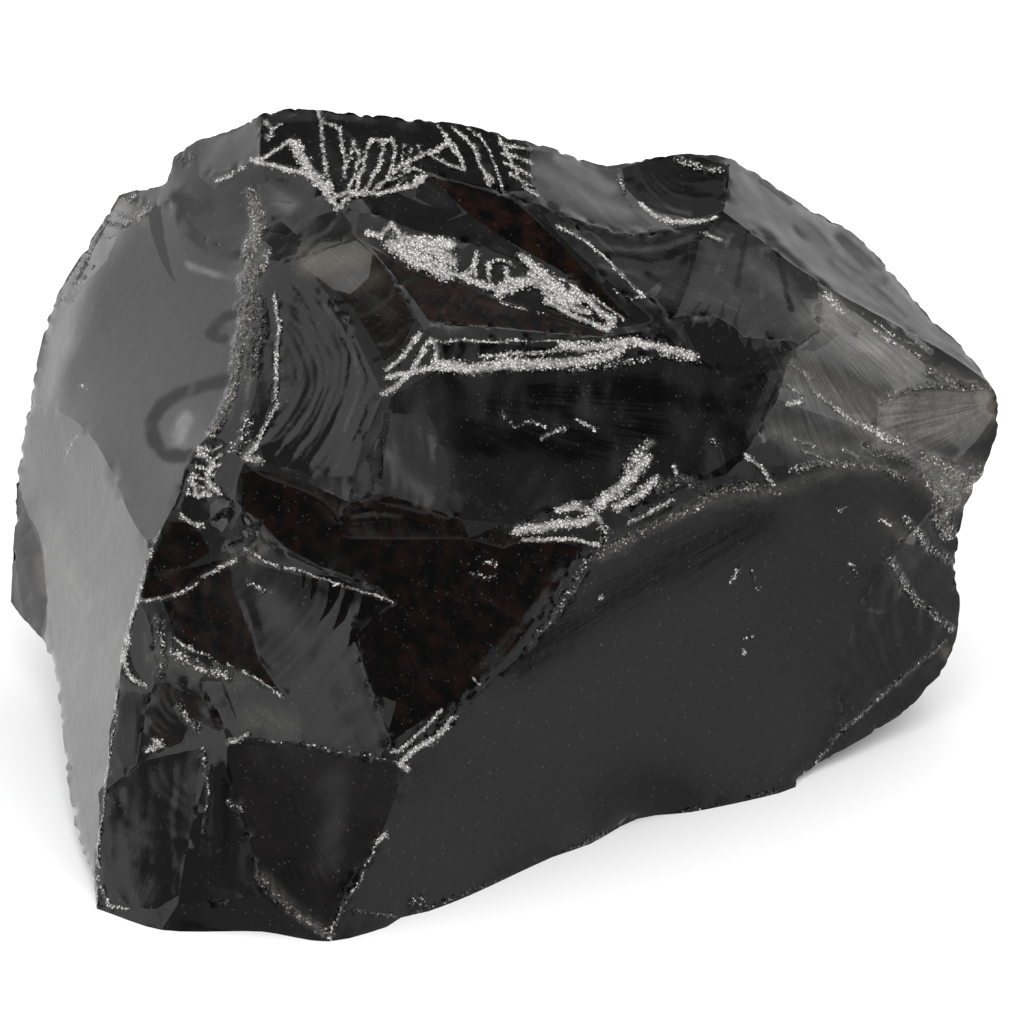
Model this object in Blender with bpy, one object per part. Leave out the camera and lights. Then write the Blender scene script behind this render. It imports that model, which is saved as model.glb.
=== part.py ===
"""A chunk of black obsidian, 124 mm across, resting on the flat face along which it was struck off.

The stone is laid out on a facing plane that leans back from upright: x runs to the right, y runs up the plane,
and the depth of the surface is measured straight out of it. A glassy stone breaks in shell-shaped scars that
meet in ridges, so the design is a net of ridges and, for each scar, the way it faces. The depths follow from
those facings, all at once, by least squares, so that every scar comes close to its slope and all ridges close.
"""

import math

import bmesh
import bpy
import numpy as np
from mathutils import Vector
from mathutils.geometry import delaunay_2d_cdt

MM = 0.001

# The driving dimensions, in millimetres and degrees
PLANE_LEAN = 30.0  # how far the facing plane leans back from upright
FRONT_STEP = 2.3  # spacing of the points on the worked front
REAR_STEP = 3.8  # spacing of the points on the plain rear and the base
CROWDED = 0.5  # ridge points closer than this are one point
CLEARANCE = 0.62  # field points keep this share of a step from the ridges
REAR_SAY = 0.3  # how much the rear's facings count against the front's
SETTLED = 1e-9  # the depths are solved when the sum of squared pulls is under this
FLAT = 0.001  # points this close to the ground lie on it


# The stone's outline on the facing plane, in millimetres, from the lower left corner of the base to the right
OUTLINE = [
    (-50.6, -47.8), (-42.5, -50.4), (-30.0, -50.6), (-21.8, -51.8), (-14.6, -50.0), (-12.9, -48.9),
    (-9.4, -48.1), (-4.4, -46.2), (5.9, -41.5), (10.6, -39.9), (16.5, -36.8), (23.1, -36.0),
    (31.9, -34.2), (36.2, -32.9), (37.9, -30.6), (42.5, -28.0), (50.9, -23.1), (53.1, -19.6),
    (55.0, -18.1), (56.5, -13.6), (57.0, -9.4), (56.2, -7.4), (57.1, 1.6), (59.1, 5.1),
    (60.4, 8.5), (62.1, 13.5), (61.9, 15.1), (60.6, 17.2), (56.9, 22.2), (53.8, 24.8),
    (47.5, 32.2), (44.6, 35.4), (42.5, 37.0), (37.5, 39.4), (29.4, 45.0), (27.1, 45.8),
    (20.9, 46.0), (14.6, 44.6), (12.5, 44.0), (6.9, 46.6), (3.8, 47.1), (-4.4, 49.4), (-9.4, 50.1),
    (-27.9, 51.6), (-30.4, 50.8), (-34.6, 48.5), (-38.1, 48.0), (-41.2, 45.6), (-42.1, 42.6),
    (-43.4, 42.1), (-45.0, 41.4), (-46.9, 41.9), (-48.1, 41.0), (-56.9, 26.9), (-57.9, 22.9),
    (-59.6, 15.1), (-61.0, 7.2), (-61.2, 2.2), (-61.9, -9.9), (-60.9, -11.5), (-57.9, -14.4),
    (-56.9, -16.1), (-56.0, -19.6), (-53.5, -37.8), (-50.9, -44.6),
]
# The ridges between the scars of the worked front
FRONT_RIDGES = {
    "left_arete": [
        (-32.5, 44.8), (-31.1, 37.6), (-31.0, 34.8), (-30.9, 32.2), (-34.1, 15.4), (-36.4, 11.1),
        (-38.1, 9.6), (-41.1, 1.9), (-43.8, -3.1), (-45.4, -9.6), (-46.8, -13.6), (-48.1, -21.1),
        (-49.4, -33.1), (-50.5, -40.2), (-50.6, -47.8),
    ],
    "wall_top": [(-56.9, 26.9), (-54.6, 28.4), (-44.0, 40.0)],
    "wall_nick": [(-44.0, 40.0), (-43.4, 42.1)],
    "notch_foot": [(-44.0, 40.0), (-40.9, 39.5)],
    "shoulder_left": [(-40.9, 39.5), (-38.1, 43.9)],
    "shoulder_top": [(-38.1, 43.9), (-35.4, 43.4), (-32.5, 44.8)],
    "shoulder_arc": [(-40.9, 39.5), (-39.4, 36.9), (-36.9, 35.0), (-33.8, 33.8), (-31.0, 34.8)],
    "flank_foot": [(-42.1, 42.6), (-38.1, 43.9)],
    "flank_ridge": [(-30.4, 50.8), (-30.6, 44.6)],
    "top_band_foot": [
        (-32.5, 44.8), (-30.6, 44.6), (-25.0, 43.6), (-22.9, 41.6), (-21.2, 40.0), (-19.1, 40.4),
        (-10.0, 43.2), (-7.1, 43.0), (1.2, 40.8), (4.4, 39.5),
    ],
    "saddle_edge": [(3.8, 47.1), (3.2, 45.1), (3.4, 42.6), (4.4, 39.5)],
    "wall_mid": [
        (-59.6, 15.1), (-55.6, 14.1), (-51.6, 11.4), (-47.9, 4.4), (-46.9, 1.0), (-43.8, -3.1),
    ],
    "flap_edge": [(-61.2, 2.2), (-58.1, -0.9), (-56.9, -16.1)],
    "cup_rim": [
        (-22.9, 41.6), (-22.5, 39.8), (-24.1, 38.1), (-26.9, 37.5), (-29.1, 38.1), (-31.1, 37.6),
    ],
    "gray_right": [(-19.1, 40.4), (-18.1, 38.5), (-18.5, 35.4)],
    "beige_top": [(-30.9, 32.2), (-25.2, 33.2), (-18.5, 35.4)],
    "thin_ridge": [(-30.9, 32.2), (-29.0, 31.1), (-28.1, 28.5), (-28.2, 14.8), (-32.2, 7.6)],
    "strip_foot": [(-36.4, 11.1), (-32.2, 7.6)],
    "lens_edge": [(-25.2, 33.2), (-23.9, 30.5), (-20.1, 26.2), (-15.1, 15.9)],
    "lens_heel": [(-15.1, 15.9), (-18.4, 7.6), (-19.5, 1.9)],
    "lens_foot": [(-32.2, 7.6), (-25.6, 6.6), (-22.5, 5.5), (-20.6, 3.9), (-19.5, 1.9)],
    "skirt_foot": [(-32.2, 7.6), (-33.1, 5.9), (-27.9, 5.1), (-21.1, 2.1), (-19.5, 1.9)],
    "beige_right": [(-18.5, 35.4), (-14.6, 31.6), (-11.6, 26.9), (-10.0, 23.9)],
    "beige_low": [(-10.0, 23.9), (-12.1, 21.4), (-15.1, 15.9)],
    "shelf_front": [
        (-15.1, 15.9), (-10.9, 18.4), (-8.1, 19.4), (9.4, 19.4), (18.1, 21.0), (24.0, 20.6),
    ],
    "shelf_back": [(-10.0, 23.9), (-7.5, 23.1), (11.9, 23.0), (16.9, 23.8), (24.0, 20.6)],
    "groove_foot": [(-11.6, 26.9), (-8.1, 24.9), (11.9, 23.0)],
    "groove_top": [
        (-18.5, 35.4), (-15.6, 34.1), (-12.9, 31.9), (5.6, 25.8), (12.8, 23.8), (16.1, 24.6),
        (16.9, 23.8),
    ],
    "grit_top": [(-18.1, 38.5), (-14.6, 38.2), (-6.9, 35.2), (-2.9, 34.6), (8.8, 29.9)],
    "rift_foot": [(-10.0, 43.2), (-5.4, 38.5), (8.8, 29.9), (16.1, 24.6)],
    "rift_top": [(1.2, 40.8), (15.2, 27.9), (24.0, 20.6)],
    "rail_top": [(4.4, 39.5), (7.5, 38.0), (20.4, 25.4), (24.0, 20.6)],
    "scoop_rim": [
        (14.6, 44.6), (15.2, 41.6), (16.9, 39.1), (19.6, 37.8), (22.5, 37.5), (25.1, 38.0),
    ],
    "scoop_right": [(25.1, 38.0), (27.1, 38.8), (27.9, 43.5), (27.1, 45.8)],
    "saddle_arc": [(7.5, 38.0), (14.6, 36.0), (18.8, 36.0), (22.5, 36.8), (25.1, 38.0)],
    "saddle_side": [(25.1, 38.0), (24.0, 32.2), (21.8, 25.6), (24.0, 20.6)],
    "shoulder_foot": [(27.1, 38.8), (38.4, 30.4), (55.6, 20.9), (60.6, 17.2)],
    "apron_right": [(38.4, 30.4), (39.9, 27.5), (39.4, 24.4), (36.5, 22.2), (35.1, 18.9)],
    "hackle_step": [
        (21.8, 25.6), (25.0, 26.1), (27.9, 25.1), (29.6, 23.1), (32.1, 22.6), (34.1, 23.4),
        (36.5, 22.2),
    ],
    "panel_top": [(24.0, 20.6), (27.1, 18.6), (30.9, 17.8), (35.1, 18.9)],
    "panel_right": [(35.1, 18.9), (29.6, 8.2), (27.5, 6.0)],
    "chip_top": [(29.6, 8.2), (31.9, 10.0), (34.4, 8.9), (35.6, 6.1)],
    "chip_mid": [(29.6, 8.2), (33.1, 4.5)],
    "plain_top": [
        (11.5, -4.2), (25.0, 2.5), (30.0, 4.4), (33.1, 4.5), (35.6, 6.1), (41.9, 6.9), (51.2, 5.2),
        (52.9, 5.6), (54.8, 7.5),
    ],
    "plain_left": [
        (-12.6, -30.2), (-9.1, -27.4), (0.0, -18.1), (3.1, -14.6), (9.8, -5.4), (11.5, -4.2),
    ],
    "bowl_right": [(9.8, -3.1), (1.9, -14.4), (-8.1, -24.6), (-13.4, -29.2)],
    "bevel_end": [(9.8, -3.1), (11.5, -4.2)],
    "bowl_end": [(-13.4, -29.2), (-12.6, -30.2)],
    "panel_foot": [
        (-19.5, 1.9), (-15.4, 2.8), (-5.1, 0.2), (-0.6, 0.4), (1.2, -0.4), (9.1, 2.6), (11.9, 1.4),
        (15.6, 1.4), (24.4, 5.4), (27.5, 6.0), (30.0, 4.4),
    ],
    "nook_foot": [(-5.1, 0.2), (-4.4, -1.8), (-0.2, -3.2), (1.6, -2.2), (5.0, -2.0), (9.8, -3.1)],
    "nook_right": [(-0.2, -3.2), (1.2, -0.4)],
    "roll_right": [(11.9, 1.4), (13.4, -1.1), (12.6, -3.2), (11.5, -4.2)],
    "end_top": [(46.9, 15.1), (49.4, 16.4), (52.5, 16.9), (60.6, 17.2)],
    "end_left": [(46.9, 15.1), (45.6, 13.2), (46.9, 11.4)],
    "end_foot": [(46.9, 11.4), (54.8, 7.5), (60.4, 8.5)],
    "plain_right": [
        (52.9, 5.6), (53.9, 3.1), (50.4, -1.8), (47.5, -3.6), (47.1, -5.4), (48.5, -7.4),
        (56.5, -13.6),
    ],
    "crush_foot": [(53.9, 3.1), (55.4, 1.4), (57.1, 1.6)],
    "pit_edge": [(50.4, -1.8), (51.9, -4.9), (54.1, -5.4), (56.2, -7.4)],
    "plain_corner": [(47.1, -5.4), (44.1, -10.9), (42.1, -17.1), (41.9, -23.4), (42.5, -28.0)],
    "prow": [(-12.6, -30.2), (-14.0, -35.6), (-16.9, -41.5), (-20.0, -45.9), (-21.8, -51.8)],
    "toe_top": [
        (-34.4, -27.4), (-32.5, -26.6), (-25.6, -27.5), (-23.1, -28.6), (-20.0, -29.1),
        (-13.4, -29.2),
    ],
    "toe_left": [(-34.4, -27.4), (-34.9, -29.2), (-29.6, -45.6)],
    "knee_right": [(-36.2, -29.0), (-39.1, -38.4), (-40.5, -47.1)],
    "knee_top": [
        (-49.4, -33.1), (-45.6, -29.9), (-44.1, -28.6), (-38.1, -25.9), (-36.6, -26.8),
        (-36.2, -29.0), (-34.9, -29.2),
    ],
    "sole_top": [
        (-50.5, -40.2), (-49.4, -43.1), (-47.9, -45.4), (-46.2, -46.8), (-40.5, -47.1),
        (-35.0, -46.9), (-29.6, -45.6), (-27.6, -47.6), (-23.1, -50.1), (-21.8, -51.8),
    ],
    "channel_foot": [(-41.1, 1.9), (-37.6, -0.9), (-36.5, -3.1)],
    "channel_right": [(-33.1, 5.9), (-34.6, 3.2), (-36.9, 2.6), (-37.6, -0.9)],
    "ring_right": [(-34.6, 3.2), (-33.4, 2.9), (-34.6, -1.1), (-36.5, -3.1)],
    "dark_foot": [(-45.4, -9.6), (-43.1, -9.4), (-40.6, -8.1), (-34.0, -4.2)],
    "bowl_left": [
        (-33.1, 5.9), (-33.4, 2.9), (-32.1, 1.9), (-29.4, -2.5), (-19.6, -7.1), (-15.9, -7.8),
        (-13.8, -9.9),
    ],
    "fin_foot": [
        (-36.5, -3.1), (-35.4, -4.1), (-34.0, -4.2), (-22.9, -7.1), (-15.9, -8.4), (-13.8, -9.9),
    ],
    "hackle_line": [(-13.8, -9.9), (-16.6, -11.4), (-18.4, -14.6), (-13.4, -29.2)],
    "lap_left": [
        (-34.0, -4.2), (-31.1, -15.9), (-27.8, -20.9), (-26.2, -22.9), (-25.1, -24.9),
        (-25.6, -27.5),
    ],
    "tooth_left": [(-40.6, -8.1), (-41.5, -13.6)],
    "tooth_foot": [(-41.5, -13.6), (-39.4, -15.6), (-27.8, -20.9)],
    "belt_foot": [(-43.4, -19.9), (-37.9, -19.6), (-34.6, -20.1), (-26.2, -22.9)],
    "slot_right": [(-43.1, -9.4), (-43.8, -12.4), (-43.4, -19.9)],
    "slot_foot": [(-48.1, -21.1), (-45.6, -20.4), (-43.4, -19.9)],
    "heel_right": [(-45.6, -20.4), (-44.8, -22.8), (-45.6, -29.9)],
    "den_right": [(-37.9, -19.6), (-35.1, -24.6), (-34.4, -27.4)],
    "gusset": [(-34.6, -20.1), (-32.5, -26.6)],
}
# The ridges of the plain rear and the edge of the base, where they lie behind the front
REAR_RIDGES = {
    "base_back": [
        (36.2, -32.9), (36.9, -30.2), (43.4, -22.1), (43.1, -14.6), (37.5, -9.6), (23.1, -8.1),
        (10.0, -7.8), (-5.6, -8.6), (-20.0, -10.2), (-33.8, -14.6), (-44.4, -20.9), (-49.4, -29.6),
        (-49.6, -38.4), (-50.6, -47.8),
    ],
    "under_right": [(43.1, -14.6), (49.4, -14.6), (56.5, -13.6)],
    "under_left": [(-44.4, -20.9), (-51.9, -16.5), (-57.5, -12.4), (-61.9, -9.9)],
    "rear_left": [
        (-20.0, -10.2), (-22.9, 2.9), (-28.1, 17.9), (-29.4, 36.0), (-32.5, 42.9), (-34.6, 48.5),
    ],
    "rear_mid": [(23.1, -8.1), (20.9, 9.1), (18.1, 20.4), (16.9, 31.0), (15.4, 37.9), (14.6, 44.6)],
    "rear_right": [(43.1, -14.6), (45.4, 0.4), (45.9, 12.9), (44.4, 24.1), (47.5, 32.2)],
    "rear_shelf": [
        (-57.9, 22.9), (-44.4, 32.2), (-29.4, 36.0), (16.9, 31.0), (31.9, 27.9), (44.4, 24.1),
        (51.9, 22.2), (56.9, 22.2),
    ],
    "rear_scoop": [(-22.9, 2.9), (-13.1, 8.5), (-0.6, 10.4), (10.6, 8.9), (20.9, 9.1)],
}

# Each scar: a spot inside it, its turn to the right and its tip upward in degrees, and how hollow it is, as
# the change of slope per millimetre away from its middle. In the rear, the turn and tip are seen from the front.
FRONT_SCARS = {
    "upper_wall": ((-46.9, 24.1), -63, 18, 0.006),
    "wall_tip": ((-49.6, 36.0), -58, 34, 0),
    "notch": ((-41.6, 41.2), -45, 28, 0),
    "shoulder_cap": ((-35.0, 39.8), -30, 25, 0.02),
    "flank": ((-35.0, 46.6), -52, 34, 0),
    "cup": ((-27.5, 41.0), -44, 16, 0.08),
    "top_band": ((-13.1, 46.6), 8, 32, 0.01),
    "saddle": ((9.4, 41.6), 14, 52, 0.03),
    "scoop": ((21.9, 41.0), 0, 34, 0.08),
    "saddle_corner": ((18.1, 31.6), 24, 34, 0.02),
    "hollow": ((30.6, 31.6), 12, 34, 0.03),
    "apron": ((28.8, 21.4), 18, 8, 0.01),
    "right_shoulder": ((43.1, 31.6), 38, 58, 0.016),
    "right_slope": ((43.1, 15.4), 34, 22, 0.015),
    "end_cap": ((53.8, 12.9), 52, 4, 0.02),
    "chip_upper": ((33.6, 7.1), 20, -12, 0),
    "chip_lower": ((30.1, 5.9), 4, -18, 0),
    "crushed_end": ((56.2, 4.8), 48, -10, 0),
    "pit": ((53.8, -1.5), 46, -14, 0.04),
    "pit_lower": ((52.5, -8.4), 52, -22, 0.03),
    "corner": ((49.4, -17.1), 44, -16, 0.012),
    "plain": ((18.1, -15.9), 32, -8, 0.001),
    "bevel": ((-8.6, -25.9), 16, -14, 0),
    "bowl": ((-6.9, -12.1), 12, -6, 0.03),
    "nook": ((-1.9, -0.9), -8, -28, 0.04),
    "nook_right": ((6.2, -0.6), 10, -30, 0.04),
    "crushed_step": ((18.8, 1.4), 18, -34, 0),
    "fin": ((-30.4, -3.4), -56, -16, 0),
    "lower_bowl": ((-21.9, -17.1), -44, 6, 0.02),
    "lap": ((-35.6, -10.9), -30, -24, 0.03),
    "dark_scar": ((-41.2, -4.6), -30, -10, 0.03),
    "channel": ((-36.9, 5.4), -34, -16, 0.03),
    "ring": ((-36.2, 0.4), -20, 6, 0.05),
    "ring_top": ((-33.6, 3.9), -10, -10, 0),
    "tooth": ((-39.4, -17.8), -38, 4, 0.03),
    "slot": ((-45.0, -14.6), -44, 4, 0.03),
    "heel": ((-47.5, -26.5), -46, 2, 0.02),
    "den": ((-41.2, -24.0), -30, -24, 0.03),
    "den_right": ((-35.4, -22.8), -18, -10, 0),
    "gusset": ((-30.0, -24.0), -44, 10, 0),
    "knee_left": ((-43.8, -37.1), -30, -8, 0.006),
    "knee": ((-36.2, -38.4), -14, -8, 0.01),
    "toe": ((-23.1, -38.4), -2, -6, 0.01),
    "sole": ((-38.1, -49.0), -10, -26, 0),
    "lower_wall": ((-51.9, -9.6), -74, 4, 0.004),
    "flap": ((-60.0, -5.9), -66, -6, 0),
    "strip": ((-30.4, 21.6), -50, 6, 0.02),
    "lens": ((-23.1, 17.9), -42, 10, 0.02),
    "skirt": ((-27.1, 5.9), -30, -30, 0),
    "beige": ((-18.1, 26.6), -16, 18, 0.03),
    "grey_patch": ((-25.0, 35.6), -40, 18, 0.03),
    "grit_upper": ((-8.1, 38.5), 18, 14, 0),
    "grit_lower": ((-9.4, 34.1), 14, 10, 0),
    "rift": ((6.9, 34.8), -12, 30, 0.03),
    "rail": ((10.4, 33.9), 38, 6, 0),
    "groove": ((-6.9, 27.2), 8, 38, 0.04),
    "groove_lower": ((-0.6, 23.5), 10, 0, 0),
    "shelf": ((-0.6, 21.0), 18, -14, 0),
    "panel": ((11.9, 11.6), 24, 12, 0.014),
}
REAR_SCARS = {
    "base": ((-6.9, -32.1), 0, -60, 0),
    "under_right": ((49.4, -19.0), 56, -26, 0),
    "under_left": ((-53.1, -29.6), -60, -14, 0),
    "rear_left": ((-44.4, 9.1), -26, 28, 0.006),
    "rear_low": ((-0.6, 0.4), 0, 24, 0.008),
    "rear_back": ((-6.9, 22.9), -2, 36, 0.006),
    "rear_right": ((33.1, 9.1), 34, 25, 0.006),
    "rear_end": ((51.2, 6.6), 52, 19, 0.004),
    "top_left": ((-40.6, 40.4), -36, 48, 0.004),
    "top_back": ((-6.9, 40.4), -2, 60, 0.004),
    "top_right": ((30.6, 36.6), 24, 54, 0.004),
    "top_end": ((49.4, 26.0), 42, 40, 0),
}


def curve_points(control, step):
    """Points along a smooth curve through the control points, all of which it keeps."""
    first, last = control[0], control[-1]
    before = (2 * first[0] - control[1][0], 2 * first[1] - control[1][1])
    after = (2 * last[0] - control[-2][0], 2 * last[1] - control[-2][1])
    knots = [Vector(p) for p in (before, *control, after)]
    points = [knots[1]]
    for a, b, c, d in zip(knots, knots[1:], knots[2:], knots[3:]):
        span = (c - b).length
        lead = (c - a) * min(1.0, span / max((b - a).length, 1e-6)) * 0.5
        trail = (d - b) * min(1.0, span / max((d - c).length, 1e-6)) * 0.5
        pieces = max(1, round(span / step))
        for i in range(1, pieces + 1):
            t = i / pieces
            rise = t * t * (3 - 2 * t)
            points.append(
                b * (1 - rise) + c * rise
                + lead * (t * (1 - t) ** 2) - trail * (t * t * (1 - t))
            )
    return points


def inside(points, outline):
    """Which of the points lie inside the closed outline, by counting crossings."""
    found = np.zeros(len(points), dtype=bool)
    x, y = points[:, 0], points[:, 1]
    for (ax, ay), (bx, by) in zip(outline, np.roll(outline, -1, axis=0)):
        crosses = (ay > y) != (by > y)
        if ay != by:
            found ^= crosses & (x < (bx - ax) * (y - ay) / (by - ay) + ax)
    return found


def net_points(rim, ridges, step):
    """The points of a sheet and the ridge edges between them. The rim comes first."""
    points = [Vector(p) for p in rim]
    edges = set()

    def place(point):
        nearest = min(range(len(points)), key=lambda i: (points[i] - point).length_squared)
        if (points[nearest] - point).length < CROWDED:
            return nearest
        points.append(point)
        return len(points) - 1

    for control in ridges.values():
        path = [place(p) for p in curve_points(control, step)]
        edges |= {(min(a, b), max(a, b)) for a, b in zip(path, path[1:]) if a != b}
    return points, edges


def field_points(outline, taken, step):
    """A field of evenly spaced points inside the outline, clear of the points that are taken."""
    row = step * math.sqrt(3) / 2
    low, high = outline.min(axis=0), outline.max(axis=0)
    rows = range(int((high[1] - low[1]) / row) + 1)
    columns = range(int((high[0] - low[0]) / step) + 1)
    grid = np.array([(low[0] + (i + j % 2 / 2) * step, low[1] + j * row) for j in rows for i in columns])
    grid = grid[inside(grid, outline)]
    gaps = np.linalg.norm(grid[:, None] - taken[None], axis=2).min(axis=1)
    return grid[gaps > CLEARANCE * step]


class Sheet:
    """One side of the stone on the facing plane: its points, its triangles and the scar of each."""

    def __init__(self, rim, ridges, scars, step):
        points, edges = net_points(rim, ridges, step)
        outline = np.array(rim)
        field = field_points(outline, np.array([tuple(p) for p in points]), step)
        points += [Vector(p) for p in field]
        count = len(rim)
        edges |= {tuple(sorted((i, (i + 1) % count))) for i in range(count)}
        laid = delaunay_2d_cdt(points, sorted(edges), [], 0, 1e-5)
        laid_points, laid_edges, laid_faces, _, sources, _ = laid
        self.points = np.array([tuple(p) for p in laid_points])
        if not np.allclose(self.points[:count], outline, atol=1e-4):
            raise ValueError("a ridge crosses the rim")
        faces = np.array(laid_faces)
        self.triangles = faces[inside(self.points[faces].mean(axis=1), outline)]
        corners = self.points[self.triangles]
        self.middles = corners.mean(axis=1)
        opposite = np.roll(corners, -2, axis=1) - np.roll(corners, -1, axis=1)
        doubled = np.cross(opposite[:, 0], opposite[:, 1])
        self.areas = doubled / 2
        # A triangle's slope is the sum of its corners' depths, each times its own one of these vectors
        self.slopers = np.stack([-opposite[..., 1], opposite[..., 0]], axis=-1) / doubled[:, None, None]
        ridge_edges = {tuple(sorted(edge)) for edge, source in zip(laid_edges, sources) if source}
        self.scars = scars
        self.scar_of = self.name_triangles(ridge_edges)

    def name_triangles(self, ridge_edges):
        """Spreads each scar's name from its spot over the triangles, up to the ridges around it."""
        sides = {}
        for number, triangle in enumerate(self.triangles.tolist()):
            for edge in zip(triangle, triangle[1:] + triangle[:1]):
                sides.setdefault(tuple(sorted(edge)), []).append(number)
        neighbours = [[] for _ in self.triangles]
        for edge, touching in sides.items():
            if len(touching) == 2 and edge not in ridge_edges:
                neighbours[touching[0]].append(touching[1])
                neighbours[touching[1]].append(touching[0])
        names = [None] * len(self.triangles)
        for name, (spot, *_) in self.scars.items():
            waiting = [int(np.linalg.norm(self.middles - spot, axis=1).argmin())]
            while waiting:
                number = waiting.pop()
                if names[number] is None:
                    names[number] = name
                    waiting += neighbours[number]
        # A scrap between crossing ridges belongs to the scar whose spot is nearest
        spots = np.array([spot for spot, *_ in self.scars.values()])
        for number, name in enumerate(names):
            if name is None:
                nearest = np.linalg.norm(spots - self.middles[number], axis=1).argmin()
                names[number] = list(self.scars)[nearest]
        return np.array(names)

    def wanted_slopes(self, side):
        """The slope that each triangle should have. side is 1 for the front and -1 for the rear."""
        wanted = np.zeros((len(self.triangles), 2))
        for name, (_, turn, tip, hollow) in self.scars.items():
            mine = self.scar_of == name
            weight = self.areas[mine, None]
            middle = (self.middles[mine] * weight).sum(axis=0) / weight.sum()
            turn, tip = math.radians(turn), math.radians(tip)
            plain = np.array([math.tan(turn), math.tan(tip) / math.cos(turn)])
            wanted[mine] = -side * (plain - hollow * (self.middles[mine] - middle))
        return wanted


def solve_depths(front, rear, rim_count):
    """The depths of the front's points, then of the rear's points inside the rim.

    The triangles' slopes come as close as they can to the wanted ones, by conjugate gradients on the weighted
    least-squares sum. The two sheets share the rim, and the base's points stay on the ground.
    """
    extra = len(front.points) - rim_count
    moved = np.where(rear.triangles < rim_count, rear.triangles, rear.triangles + extra)
    corners = np.concatenate([front.triangles, moved])
    slopers = np.concatenate([front.slopers, rear.slopers])
    wanted = np.concatenate([front.wanted_slopes(1), rear.wanted_slopes(-1)])
    weights = np.concatenate([front.areas, rear.areas * REAR_SAY])
    places = np.concatenate([front.points, rear.points[rim_count:]])
    resting = np.unique(moved[rear.scar_of == "base"])
    free = np.ones(len(places), dtype=bool)
    free[resting] = False

    def gather(slopes):
        """Adds up what each triangle's slope error asks of its three corners."""
        pulls = np.einsum("tkc,tc,t->tk", slopers, slopes, weights)
        return np.bincount(corners.ravel(), pulls.ravel(), len(places)) * free

    def slopes_of(depths):
        return np.einsum("tkc,tk->tc", slopers, depths[corners])

    depths = np.zeros(len(places))
    depths[resting] = -places[resting, 1] / math.tan(math.radians(PLANE_LEAN))
    depths[free] = depths[resting].mean()
    error = gather(wanted - slopes_of(depths))
    heading, size = error, error @ error
    while size > SETTLED:
        answer = gather(slopes_of(heading))
        stride = size / (heading @ answer)
        depths = depths + stride * heading
        error = error - stride * answer
        size, old_size = error @ error, size
        heading = error + size / old_size * heading
    return depths


def stand_up(places, depths):
    """Carries points on the facing plane, with their depths, to the upright frame, in metres."""
    lean = math.radians(PLANE_LEAN)
    x, up, out = places[:, 0], places[:, 1], depths
    y = up * math.sin(lean) - out * math.cos(lean)
    z = up * math.cos(lean) + out * math.sin(lean)
    points = np.stack([x, y, z], axis=1)
    middle = (points.min(axis=0) + points.max(axis=0)) / 2
    points -= (middle[0], middle[1], 0)
    points[np.abs(points[:, 2]) < FLAT, 2] = 0
    return points * MM


def obsidian_material():
    """Black volcanic glass."""
    material = bpy.data.materials.new("obsidian")
    material.use_nodes = True
    shader = material.node_tree.nodes["Principled BSDF"]
    shader.inputs["Base Color"].default_value = (0.006, 0.006, 0.007, 1.0)
    shader.inputs["Roughness"].default_value = 0.06
    shader.inputs["Metallic"].default_value = 0.0
    shader.inputs["IOR"].default_value = 1.49
    return material


def build_chunk():
    """Makes the chunk: the worked front and the plain rear, closed along the outline."""
    closed = OUTLINE + OUTLINE[:1]
    rim = [tuple(p) for p in curve_points(closed, FRONT_STEP)[:-1]]
    front = Sheet(rim, FRONT_RIDGES, FRONT_SCARS, FRONT_STEP)
    rear = Sheet(rim, REAR_RIDGES, REAR_SCARS, REAR_STEP)
    depths = solve_depths(front, rear, len(rim))
    places = np.concatenate([front.points, rear.points[len(rim):]])
    points = stand_up(places, depths)
    extra = len(front.points) - len(rim)
    stone = bmesh.new()
    verts = [stone.verts.new(p) for p in points]
    for corners in front.triangles.tolist():
        stone.faces.new([verts[i] for i in corners])
    for corners in rear.triangles.tolist():
        stone.faces.new([verts[i if i < len(rim) else i + extra] for i in reversed(corners)])
    mesh = bpy.data.meshes.new("obsidian_chunk")
    stone.to_mesh(mesh)
    stone.free()
    mesh.materials.append(obsidian_material())
    chunk = bpy.data.objects.new("obsidian_chunk", mesh)
    bpy.context.scene.collection.objects.link(chunk)
    return chunk


for old in list(bpy.data.objects):
    bpy.data.objects.remove(old)
build_chunk()
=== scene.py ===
import heapq
import math

import bmesh
import bpy
import numpy as np
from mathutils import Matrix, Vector, kdtree, noise


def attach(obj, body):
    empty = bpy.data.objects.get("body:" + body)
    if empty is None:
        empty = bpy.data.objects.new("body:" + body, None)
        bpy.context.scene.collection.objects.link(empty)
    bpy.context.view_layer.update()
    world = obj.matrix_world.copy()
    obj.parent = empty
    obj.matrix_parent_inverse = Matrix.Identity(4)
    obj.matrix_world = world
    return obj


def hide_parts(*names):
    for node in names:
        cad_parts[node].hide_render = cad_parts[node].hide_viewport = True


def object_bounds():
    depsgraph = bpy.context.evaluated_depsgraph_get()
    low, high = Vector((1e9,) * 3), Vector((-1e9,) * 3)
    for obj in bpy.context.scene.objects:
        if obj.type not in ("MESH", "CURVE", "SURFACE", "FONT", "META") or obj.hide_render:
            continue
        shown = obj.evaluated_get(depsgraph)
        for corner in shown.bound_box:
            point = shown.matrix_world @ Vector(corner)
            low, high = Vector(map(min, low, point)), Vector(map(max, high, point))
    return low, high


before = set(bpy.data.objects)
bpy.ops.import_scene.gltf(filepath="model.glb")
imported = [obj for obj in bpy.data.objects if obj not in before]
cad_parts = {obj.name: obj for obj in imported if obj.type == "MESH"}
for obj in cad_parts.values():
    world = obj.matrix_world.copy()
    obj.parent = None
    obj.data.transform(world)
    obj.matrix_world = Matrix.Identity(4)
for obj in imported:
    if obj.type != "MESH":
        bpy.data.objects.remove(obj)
cad_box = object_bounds()

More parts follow.
